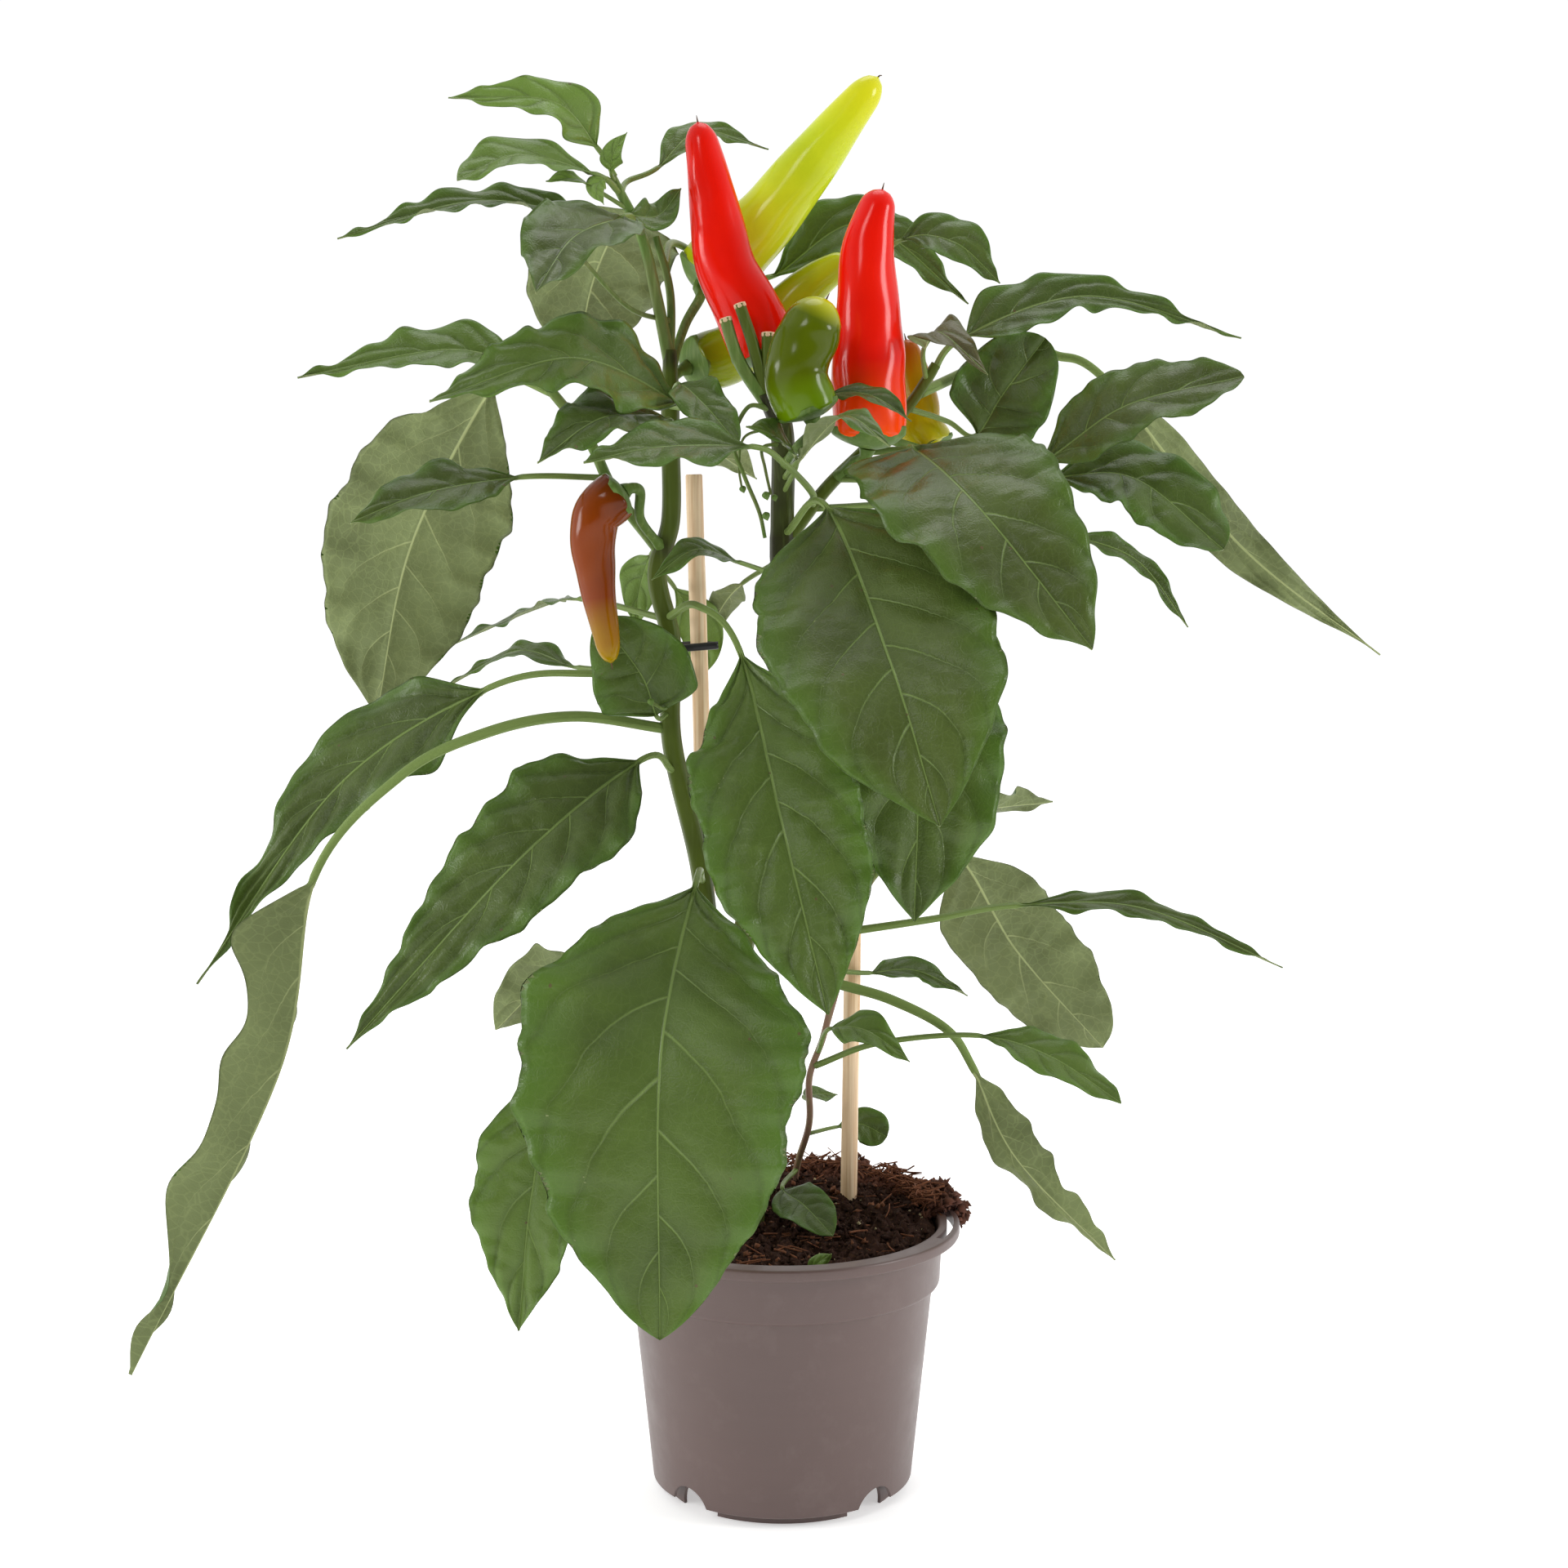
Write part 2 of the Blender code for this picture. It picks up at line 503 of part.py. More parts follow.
def make_pot():
    """The pot: a tapering wall with a band and a rim, a raised floor, and a foot ring with arched notches."""
    profile = (
        (0, FLOOR_UNDER), (FOOT_RADIUS - WALL, FLOOR_UNDER), (FOOT_RADIUS - WALL, 0), (FOOT_RADIUS, 0),
        (FOOT_RADIUS, FLOOR_UNDER), (wall_radius(FLOOR_UNDER) - WALL, FLOOR_UNDER),
        (WALL_FOOT_RADIUS - WALL, WALL_FOOT), (WALL_FOOT_RADIUS, WALL_FOOT), (WALL_TOP_RADIUS, WALL_TOP),
        (BAND_RADIUS - EDGE, WALL_TOP + EDGE), (BAND_RADIUS, BAND_FOOT), (BAND_RADIUS + EDGE, RIM_UNDER),
        (RIM_RADIUS - EDGE, RIM_UNDER), (RIM_RADIUS, RIM_UNDER + EDGE), (RIM_RADIUS, RIM_TOP - EDGE),
        (RIM_RADIUS - EDGE, RIM_TOP), (BAND_RADIUS, RIM_TOP), (BAND_RADIUS - EDGE, RIM_TOP - 2 * EDGE),
        (BAND_RADIUS - WALL, BAND_FOOT + WALL), (WALL_TOP_RADIUS - WALL, WALL_TOP),
        (wall_radius(FLOOR) - WALL, FLOOR), (0, FLOOR),
    )
    pot = add_object("pot", turned(profile), "pot_plastic")
    inner, outer = NOTCH_REACH
    for k in range(NOTCH_COUNT):
        angle = math.radians(NOTCH_FIRST + 360 * k / NOTCH_COUNT)
        bm = bmesh.new()
        bmesh.ops.create_cone(bm, cap_ends=True, segments=NOTCH_SIDES, depth=outer - inner,
                              radius1=NOTCH_RADIUS, radius2=NOTCH_RADIUS)
        cutter = add_object(f"notch_cutter_{k}", bm, "pot_plastic")
        cutter.rotation_euler = (0, math.pi / 2, angle)
        out = (inner + outer) / 2
        cutter.location = Vector((out * math.cos(angle), out * math.sin(angle), NOTCH_CENTRE)) * MM
        boolean(pot, cutter, "DIFFERENCE")
    boolean(pot, add_object("slot_cutter", bent_block(), "pot_plastic"), "DIFFERENCE")


def soil_height(x, y):
    """Just under the rim in front, heaped up towards the back right, and down again at the wall."""
    share = math.hypot(x, y) / BAND_RADIUS
    slope = min(max((y + HEAP_TURN * x - HEAP_STARTS) / HEAP_LENGTH, 0.0), 1.0)
    return SOIL_FRONT + SOIL_HEAP * slope * (1 - share**4) + HEAP_EDGE * slope * share**4


def make_soil():
    """The soil: rings of points over its heaped top, then down the inside of the pot to its floor."""
    edge = BAND_RADIUS - WALL - 2 * GAP
    sides = ((edge, BAND_FOOT + WALL + 0.6), (WALL_TOP_RADIUS - WALL - 2 * GAP, SOIL_SHOULDER),
             (wall_radius(SOIL_BOTTOM) - WALL - GAP, SOIL_BOTTOM))
    angles = [2 * math.pi * k / TURNS for k in range(TURNS)]
    rings = []
    for share in SOIL_RINGS + (1.0,):
        spots = [(edge * share * math.cos(a), edge * share * math.sin(a)) for a in angles]
        rings.append([(x, y, soil_height(x, y)) for x, y in spots])
    for radius, height in sides:
        rings.append([(radius * math.cos(a), radius * math.sin(a), height) for a in angles])
    centres = [(0, 0, soil_height(0, 0)), (0, 0, SOIL_BOTTOM)]
    return add_object("soil", sweep(centres, rings), "peat")


def cane_body(foot, top, extra=0.0):
    """A straight cane, or its socket when extra is the clearance round it."""
    down = Vector((0, 0, extra))
    centres = [Vector(foot) - down, Vector(top)]
    return round_sweep(centres, [CANE_RADIUS + extra] * 2, CANE_SIDES)


def arc(centre, radius, first, last, steps):
    """Points on a level arc, from the first angle to the last in degrees."""
    angles = [math.radians(first + (last - first) * k / steps) for k in range(steps + 1)]
    return [centre + radius * Vector((math.cos(a), math.sin(a), 0)) for a in angles]


def make_tie():
    """A cord from its free end at the right, round the stem's far side and back round the cane."""
    stem, stem_radius = stem_at("trunk", TIE_HEIGHT)
    foot, top = (Vector(p) for p in CANES["cane_left"])
    cane = foot + (top - foot) * (TIE_HEIGHT - foot.z) / (top.z - foot.z)
    stem.z = TIE_HEIGHT
    heading = math.degrees(math.atan2(cane.y - stem.y, cane.x - stem.x))
    clear = TIE_RADIUS + 3 * GAP
    route = [Vector(TIE_END)]
    route += arc(stem, stem_radius + clear, heading - 90, heading - 270, 6)
    route += arc(cane, CANE_RADIUS + clear, heading + 90, heading - 50, 5)
    return round_sweep(route, [TIE_RADIUS] * len(route), STEM_SIDES)


def make_stems():
    """The trunk with all that grows on it as one body, and the side shoot."""
    stem = add_object("main_stem", stem_body("trunk"), "stem")
    for name in GROWN_ON_TRUNK:
        boolean(stem, add_object(name + "_join", stem_body(name), "stem"), "UNION")
    add_object("side_shoot", stem_body("side_shoot"), "shoot")


def make_planted_things(soil):
    """The canes, and sockets in the soil for all that stands in it."""
    for name, (foot, top) in CANES.items():
        add_object(name, cane_body(foot, top), "bamboo")
        boolean(soil, add_object(name + "_socket", cane_body(foot, top, GAP), "peat"), "DIFFERENCE")
    for name in ("trunk", "side_shoot"):
        boolean(soil, add_object(name + "_socket", stem_body(name, GAP), "peat"), "DIFFERENCE")


def main():
    clear_scene()
    make_pot()
    soil = make_soil()
    make_planted_things(soil)
    make_stems()
    add_object("cane_tie", make_tie(), "tie_plastic")
    for name, (stem, height, stalk, pod, radius, colour) in PODS.items():
        add_object(name, pod_body(stem, height, stalk, pod, radius), colour)
    for name, (stem, height, stalk, blade, width, looks, rise) in LEAVES.items():
        body = leaf_body(OUTLINES.get(name, OUTLINE), stem, height, stalk, blade, width, looks, rise)
        add_object(name, body, "leaf")


main()
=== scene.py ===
"""A young chilli pepper plant in a grower pot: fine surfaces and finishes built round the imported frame.

Routes are in millimetres. Those of the frame's own stems, pods and leaves keep to its 5 mm grid. The small
leaves, twigs and buds that are only here are placed to 1 mm.
"""

import math

import bpy
import numpy as np
from bpy.props import FloatProperty, FloatVectorProperty, IntProperty, PointerProperty
from bpy.types import Operator, Panel, PropertyGroup
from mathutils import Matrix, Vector


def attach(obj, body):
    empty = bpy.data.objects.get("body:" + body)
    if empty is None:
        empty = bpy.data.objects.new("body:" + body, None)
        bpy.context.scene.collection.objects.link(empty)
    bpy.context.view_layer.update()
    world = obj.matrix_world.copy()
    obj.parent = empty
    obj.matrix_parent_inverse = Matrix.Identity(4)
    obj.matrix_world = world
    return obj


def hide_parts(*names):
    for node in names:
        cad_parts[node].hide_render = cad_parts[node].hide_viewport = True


bl_info = {
    "name": "Potted Chilli Plant",
    "version": (1, 0, 0),
    "blender": (4, 5, 0),
    "location": "View3D > Sidebar > Plant",
    "description": "Builds a potted chilli pepper plant",
    "category": "Add Mesh",
}

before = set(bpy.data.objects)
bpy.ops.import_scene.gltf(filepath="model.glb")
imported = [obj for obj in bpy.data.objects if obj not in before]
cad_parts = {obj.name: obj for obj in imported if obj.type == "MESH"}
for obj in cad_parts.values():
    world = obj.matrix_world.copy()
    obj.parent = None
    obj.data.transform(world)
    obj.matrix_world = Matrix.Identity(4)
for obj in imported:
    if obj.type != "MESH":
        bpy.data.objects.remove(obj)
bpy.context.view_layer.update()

MM = 0.001
BODY = "root"

# Seeds of the random draws
LUMP_SEED = 3
CRUMB_SEED = 11
EDGE_SEED = 17
FIBRE_SEED = 23
POD_SEED = 100

# Pot, soil, canes and tie, in millimetres and degrees
RIM_RADIUS = 65.0
RIM_TOP = 99.3
RIM_UNDER = 95.2
BAND_RADIUS = 57.8
BAND_FOOT = 78.8
WALL_TOP_RADIUS = 55.2
WALL_TOP = 77.0
WALL_FOOT_RADIUS = 47.7
WALL_FOOT = 3.8
FOOT_RADIUS = 42.5
WALL = 1.4
FLOOR_UNDER = 11.0
FLOOR = 12.4
NOTCH_RADIUS = 8.8
NOTCH_CENTRE = 1.7
NOTCH_COUNT = 4
NOTCH_FIRST = 45
NOTCH_REACH = (-11.0, 5.0)
NOTCH_SIDES = 48
SOIL_FRONT = 93.0
SOIL_HEAP = 13.0
SOIL_FOOT = 82.0
SOIL_TURNS = 220
SOIL_RINGS = 120
HEAP_STARTS = -20.0
HEAP_LENGTH = 65.0
HEAP_LEAN = 0.4
HEAP_LIP = 3.5
EDGE_CRUMBS = 3000
FIBRES = 640
FIBRES_OVER_RIM = 560
FIBRE_ROWS = 7
FIBRE_SIDES = 5
CANE_RADIUS = 3.1
TIE_RADIUS = 1.4
PLANT_TOP = 515.5
SLOT_RADII = (60.4, 62.9)
SLOT_HEIGHTS = (90.0, 110.0)
SLOT_FIRST = -24
SLOT_LAST = 15
SLOT_STEPS = 25
TIE_HEIGHT = 309.0
TIE_END = (-23, 2, 310)
CANES = {
    "cane_left": ((-23, 16, 30), (-32, 16, 371)),
    "cane_right": ((24, 20, 30), (28, 20, 358)),
}

TRUNK = ((-10, 5, 70), (-10, 5, 95), (-15, 5, 140), (-25, 5, 190), (-30, 5, 230), (-40, 5, 275),
         (-40, 5, 310), (-45, 5, 335), (-40, 5, 355), (-40, 5, 385), (-40, 5, 415))
LEADER = ((-40, 5, 410), (-45, 5, 435), (-50, 5, 455), (-60, 5, 475))
SECOND_LEADER = ((-40, 5, 410), (-40, 10, 435), (-45, 10, 455))
LEFT_BRANCH = ((-45, 5, 345), (-60, 0, 365), (-70, 0, 385), (-90, 0, 410))
FORK = ((-20, 5, 170), (-10, 0, 225), (0, 0, 275), (0, 0, 325), (0, 0, 355), (0, -5, 385), (-5, -10, 400))
STUB_LEFT = ((-5, -10, 395), (-15, -10, 410), (-20, -10, 425))
STUB_MIDDLE = ((-5, -10, 395), (-10, -10, 415), (-15, -10, 430))
STUB_RIGHT = ((-5, -10, 395), (-5, -10, 410), (-5, -10, 420))
RIGHT_BRANCH = ((0, 0, 345), (15, 5, 365), (30, 10, 380), (45, 10, 395), (55, 10, 410))
SIDE_SHOOT = ((5, 40, 80), (5, 40, 105), (10, 20, 130), (10, 10, 150), (15, 10, 165), (20, 10, 185),
              (25, 10, 205), (30, 10, 220), (40, 15, 230), (60, 30, 235))

# Stem name: route, radius at its foot, radius at its end
STEMS = {
    "trunk": (TRUNK, 4.0, 3.2),
    "leader": (LEADER, 2.3, 1.6),
    "second_leader": (SECOND_LEADER, 1.6, 1.3),
    "left_branch": (LEFT_BRANCH, 2.2, 1.7),
    "fork": (FORK, 4.2, 3.8),
    "stub_left": (STUB_LEFT, 2.4, 2.1),
    "stub_middle": (STUB_MIDDLE, 2.2, 2.0),
    "stub_right": (STUB_RIGHT, 2.4, 2.2),
    "right_branch": (RIGHT_BRANCH, 2.6, 1.8),
    "side_shoot": (SIDE_SHOOT, 1.8, 1.4),
}
YOUNG_STEMS = ("leader", "second_leader", "left_branch", "side_shoot", "stub_left")

# Bare twigs and broken stalks: stem, height on it, points, radius
TWIGS = (
    ("second_leader", 425, ((-55, 0, 430), (-73, -12, 449)), 0.9),
    ("fork", 395, ((-12, -18, 394), (-17, -26, 382), (-13, -29, 370), (-8, -30, 358), (-6, -30, 349)), 0.8),
    ("fork", 382, ((-7, -16, 380), (-6, -24, 373), (-4, -28, 364)), 0.6),
    ("fork", 388, ((-13, -16, 384), (-15, -24, 374), (-14, -28, 366)), 0.5),
    ("trunk", 292, ((-42, -8, 288), (-47, -12, 291)), 0.7),
)
BUDS = (((-6, -30, 365), 1.4), ((-14, -28, 367), 1.2), ((-6, -31, 358), 1.4), ((-47, -12, 292), 1.2),
        ((-3, -29, 364), 1.1))

# Pod name: stem, height on it, stalk points, pod points from its shoulder to its tip, radius, colour
PODS = {
    "chilli_red_left": (
        "fork", 385, ((0, 5, 395),),
        ((-5, 10, 410), (-10, 10, 425), (-20, 10, 445), (-25, 10, 470), (-30, 10, 495)), 12.5, "red"),
    "chilli_yellow_top": (
        "trunk", 410, ((-35, 20, 425), (-30, 30, 435)),
        ((-30, 40, 440), (-20, 40, 450), (-5, 40, 465), (15, 40, 490), (35, 40, 515)), 13.5, "yellow"),
    "chilli_yellow_back": (
        "trunk", 400, ((-40, 20, 405),),
        ((-35, 35, 410), (-20, 40, 415), (-5, 40, 425), (10, 40, 440), (25, 40, 450)), 11.0, "yellow"),
    "chilli_red_right": (
        "right_branch", 370, ((25, 0, 375),),
        ((30, -5, 380), (30, -5, 405), (30, -5, 425), (30, -5, 450), (35, -5, 470)), 13.5, "red"),
    "chilli_green_small": (
        "fork", 375, ((5, -20, 380), (10, -30, 385)),
        ((10, -35, 390), (5, -35, 405), (10, -35, 420), (15, -35, 430)), 11.0, "green"),
    "chilli_orange_hanging": (
        "trunk", 345, ((-50, -10, 355), (-50, -15, 365)),
        ((-55, -20, 365), (-65, -20, 355), (-65, -20, 335), (-60, -20, 305)), 9.0, "orange"),
    "chilli_green_right": (
        "right_branch", 385, ((50, 20, 380),),
        ((55, 30, 380), (50, 30, 390), (50, 30, 400), (45, 30, 420)), 9.0, "ripening"),
}

# Leaf name: stem, height on it, stalk points, (heel, middle, tip), width, where its top looks
# (degrees round from +X, degrees above level), how far its edges rise
LEAVES = {
    "leaf_crown_1": (
        "leader", 475, (), ((-65, 5, 485), (-80, -5, 500), (-115, -15, 500)), 19, (-90, 30), 0.2),
    "leaf_crown_2": (
        "leader", 470, (), ((-65, -5, 475), (-90, -20, 480), (-110, -35, 470)), 19, (-100, 45), 0.2),
    "leaf_crown_3": (
        "leader", 470, ((-55, 15, 475),),
        ((-45, 20, 480), (-30, 35, 495), (-5, 45, 490)), 13, (-90, 50), 0.2),
    "leaf_crown_4": (
        "leader", 460, (), ((-65, 0, 460), (-105, -15, 465), (-150, -40, 450)), 15, (-90, 55), 0.3),
    "leaf_crown_5": (
        "leader", 460, (), ((-55, -10, 460), (-70, -45, 450), (-80, -75, 430)), 36, (-90, 40), 0.2),
    "leaf_crown_6": (
        "leader", 450, (), ((-55, 20, 465), (-70, 55, 445), (-80, 80, 410)), 54, (90, 40), 0.1),
    "leaf_left_1": (
        "left_branch", 405, (), ((-95, 5, 410), (-120, 0, 415), (-170, -10, 405)), 26, (-90, 50), 0.2),
    "leaf_left_2": (
        "left_branch", 400, ((-95, 15, 405),), ((-105, 30, 405), (-140, 55, 345), (-155, 60, 280)),
        64, (90, 30), 0.1),
    "leaf_left_3": (
        "trunk", 395, (), ((-35, -20, 395), (-70, -45, 410), (-115, -75, 395)), 38, (-90, 40), 0.1),
    "leaf_left_4": (
        "trunk", 380, (), ((-40, -15, 390), (-60, -50, 390), (-80, -75, 375)), 29, (-90, 45), 0.1),
    "leaf_left_5": (
        "left_branch", 370, (), ((-90, -25, 370), (-120, -45, 365), (-145, -55, 355)), 26, (-90, 50), 0.1),
    "leaf_left_6": (
        "trunk", 320, (), ((-75, 40, 325), (-95, 70, 320), (-130, 90, 305)), 12, (-90, 70), 0.1),
    "leaf_left_7": (
        "trunk", 300, (), ((-75, 30, 300), (-100, 50, 305), (-130, 65, 290)), 14, (-90, 65), 0.1),
    "leaf_left_8": (
        "trunk", 295, ((-70, 0, 300),),
        ((-105, 0, 295), (-160, 0, 260), (-210, -15, 190)), 42, (-110, 35), 0.1),
    "leaf_left_9": (
        "trunk", 280, ((-75, -5, 285), (-105, -15, 280), (-135, -20, 265)),
        ((-165, -25, 230), (-175, -50, 165), (-220, -85, 70)), 34, (160, 15), 0.7),
    "leaf_left_10": (
        "trunk", 265, (), ((-50, -10, 270), (-90, -45, 240), (-150, -55, 175)), 48, (-100, 30), 0.1),
    "leaf_left_11": (
        "trunk", 285, (), ((-45, -5, 285), (-50, -10, 300), (-65, -10, 320)), 36, (-90, 10), 0.1),
    "leaf_front_1": (
        "right_branch", 360, ((10, -20, 365), (0, -40, 375)),
        ((-10, -55, 380), (-40, -65, 380), (-65, -75, 375)), 27, (-90, 55), 0.1),
    "leaf_front_2": ("fork", 370, (), ((5, -25, 375), (20, -60, 390), (35, -80, 380)), 14, (-90, 60), 0.2),
    "leaf_front_3": (
        "right_branch", 370, ((45, -10, 370),),
        ((45, -25, 380), (65, -70, 360), (100, -95, 315)), 64, (-80, 25), 0.1),
    "leaf_front_4": (
        "fork", 350, (), ((15, -30, 360), (35, -95, 310), (50, -115, 260)), 76, (-95, 30), 0.1),
    "leaf_front_5": (
        "trunk", 320, ((-30, -15, 325),),
        ((-15, -25, 310), (0, -75, 255), (15, -95, 195)), 56, (-90, 20), 0.1),
    "leaf_front_6": ("fork", 320, (), ((30, -10, 320), (45, -50, 275), (45, -60, 220)), 64, (-80, 20), 0.1),
    "leaf_front_7": (
        "fork", 330, ((20, 5, 340),), ((50, 20, 335), (70, 20, 305), (65, 10, 260)), 20, (-80, 30), 0.1),
    "leaf_front_8": (
        "trunk", 225, (), ((-30, -40, 230), (-40, -95, 180), (-40, -110, 90)), 94, (-90, 15), 0.1),
    "leaf_front_9": (
        "fork", 335, (), ((-15, -10, 340), (-30, -25, 345), (-45, -35, 335)), 13, (-90, 50), 0.1),
    "leaf_back_1": (
        "trunk", 330, ((-45, 20, 335),),
        ((-40, 30, 330), (-30, 45, 310), (-35, 50, 290)), 17, (-90, 20), 0.1),
    "leaf_back_2": (
        "trunk", 380, ((-35, 15, 380),),
        ((-30, 30, 380), (-25, 60, 380), (-10, 80, 370)), 22, (90, 50), 0.1),
    "leaf_back_3": ("fork", 300, (), ((15, 45, 300), (25, 85, 280), (30, 115, 235)), 45, (90, 40), 0.1),
    "leaf_back_4": (
        "trunk", 200, ((-45, 20, 205),),
        ((-45, 45, 205), (-45, 80, 185), (-45, 105, 130)), 36, (90, 40), 0.1),
    "leaf_back_5": (
        "trunk", 190, ((-50, 10, 190),),
        ((-70, 20, 190), (-90, 40, 180), (-110, 50, 160)), 28, (90, 30), 0.2),
    "leaf_right_1": (
        "second_leader", 445, ((-40, 35, 455), (-25, 65, 450)),
        ((-5, 65, 445), (30, 65, 465), (70, 60, 435)), 25, (-90, 35), 0.2),
    "leaf_right_2": (
        "right_branch", 405, (), ((65, 15, 420), (110, 20, 435), (165, 15, 420)), 25, (-90, 45), 0.2),
    "leaf_right_3": (
        "right_branch", 405, (), ((50, 0, 415), (55, -15, 420), (70, -35, 405)), 17, (-90, 50), 0.2),
    "leaf_right_4": (
        "right_branch", 395, ((60, 20, 390),),
        ((70, 20, 385), (80, 20, 400), (95, 20, 420)), 35, (-90, 10), 0.1),
    "leaf_right_5": (
        "right_branch", 380, ((70, -5, 380),), ((90, -5, 375), (120, -15, 395), (160, -20, 405)),
        32, (-90, 45), 0.1),
    "leaf_right_6": (
        "right_branch", 375, ((70, 10, 370),),
        ((95, 10, 370), (125, 0, 370), (155, -15, 345)), 34, (-90, 45), 0.1),
    "leaf_right_7": (
        "right_branch", 400, ((70, 35, 410), (85, 40, 420), (100, 40, 415)),
        ((120, 40, 405), (170, 40, 345), (220, 25, 305)), 20, (110, 20), 0.4),
    "leaf_right_8": (
        "right_branch", 360, ((60, 20, 360),),
        ((100, 25, 350), (130, 30, 340), (150, 30, 315)), 11, (-90, 50), 0.2),
    "leaf_low_1": (
        "side_shoot", 235, (), ((70, 40, 245), (85, 60, 245), (105, 75, 245)), 20, (90, 40), 0.1),
    "leaf_low_2": (
        "side_shoot", 230, (), ((65, 35, 230), (90, 55, 190), (125, 65, 150)), 44, (90, 30), 0.1),
    "leaf_low_3": (
        "side_shoot", 205, ((55, 5, 210),),
        ((85, 5, 215), (130, 0, 215), (180, -10, 195)), 13, (-90, 60), 0.1),
    "leaf_low_4": (
        "side_shoot", 185, ((40, 5, 180), (60, 0, 170)), ((70, 0, 155), (85, -10, 125), (120, -20, 90)),
        20, (70, 20), 0.3),
    "leaf_low_5": (
        "side_shoot", 155, ((35, 0, 165),),
        ((70, -10, 170), (95, -20, 165), (120, -30, 150)), 18, (-90, 55), 0.1),
    "leaf_low_6": (
        "side_shoot", 125, (), ((20, 35, 125), (30, 40, 125), (40, 40, 120)), 14, (-90, 20), 0.1),
    "leaf_low_7": (
        "trunk", 150, ((-45, 0, 155),),
        ((-80, -10, 155), (-90, -20, 115), (-95, -25, 65)), 42, (-100, 20), 0.2),
}

# Leaves too small for a solid of their own, given in the same way
SMALL_LEAVES = {
    "leaflet_crown_1": (
        "leader", 465, (), ((-65, 0, 470), (-72, -8, 473), (-82, -12, 472)), 8, (-90, 50), 0.2),
    "leaflet_crown_2": (
        "leader", 474, (), ((-60, -2, 476), (-59, -6, 482), (-54, -8, 489)), 8, (-90, 20), 0.2),
    "leaflet_crown_3": (
        "leader", 472, (), ((-62, -3, 474), (-65, -8, 470), (-62, -12, 464)), 7, (-90, 20), 0.2),
    "leaflet_crown_4": (
        "leader", 462, (), ((-54, 2, 462), (-44, 6, 462), (-36, 10, 472)), 15, (-90, 35), 0.2),
    "leaflet_front_1": (
        "fork", 365, (), ((5, -25, 376), (-3, -38, 384), (-12, -48, 387)), 14, (-90, 45), 0.2),
    "leaflet_front_2": (
        "fork", 390, (), ((15, -18, 398), (30, -28, 398), (44, -36, 389)), 11, (-90, 55), 0.2),
    "leaflet_front_3": (
        "trunk", 395, (), ((-36, -20, 402), (-27, -36, 395), (-15, -46, 381)), 17, (-90, 40), 0.1),
    "leaflet_right_1": (
        "fork", 395, ((20, 24, 430),), ((42, 30, 455), (62, 28, 455), (79, 25, 440)), 22, (-90, 40), 0.2),
    "leaflet_left_1": (
        "trunk", 345, (), ((-48, 22, 342), (-53, 36, 329), (-55, 42, 314)), 16, (-90, 20), 0.1),
    "leaflet_left_2": (
        "fork", 340, (), ((-14, 20, 332), (-22, 40, 323), (-30, 52, 307)), 12, (90, 30), 0.1),
    "leaflet_low_1": (
        "side_shoot", 190, (), ((32, 16, 188), (50, 26, 187), (70, 34, 176)), 12, (-90, 50), 0.2),
    "leaflet_low_2": (
        "side_shoot", 160, (), ((17, -8, 172), (30, -20, 174), (45, -30, 165)), 15, (-90, 45), 0.1),
    "leaflet_low_3": (
        "side_shoot", 140, (), ((8, 22, 140), (14, 30, 139), (21, 34, 138)), 8, (-90, 50), 0.1),
    "leaflet_soil_1": (
        "side_shoot", 108, (), ((0, 14, 107), (8, -2, 105), (18, -20, 99)), 18, (-90, 40), 0.1),
    "leaflet_soil_2": (
        "trunk", 88, ((5, -34, 88),), ((9, -41, 92), (13, -46, 97), (17, -50, 101)), 6, (-90, 30), 0.2),
}

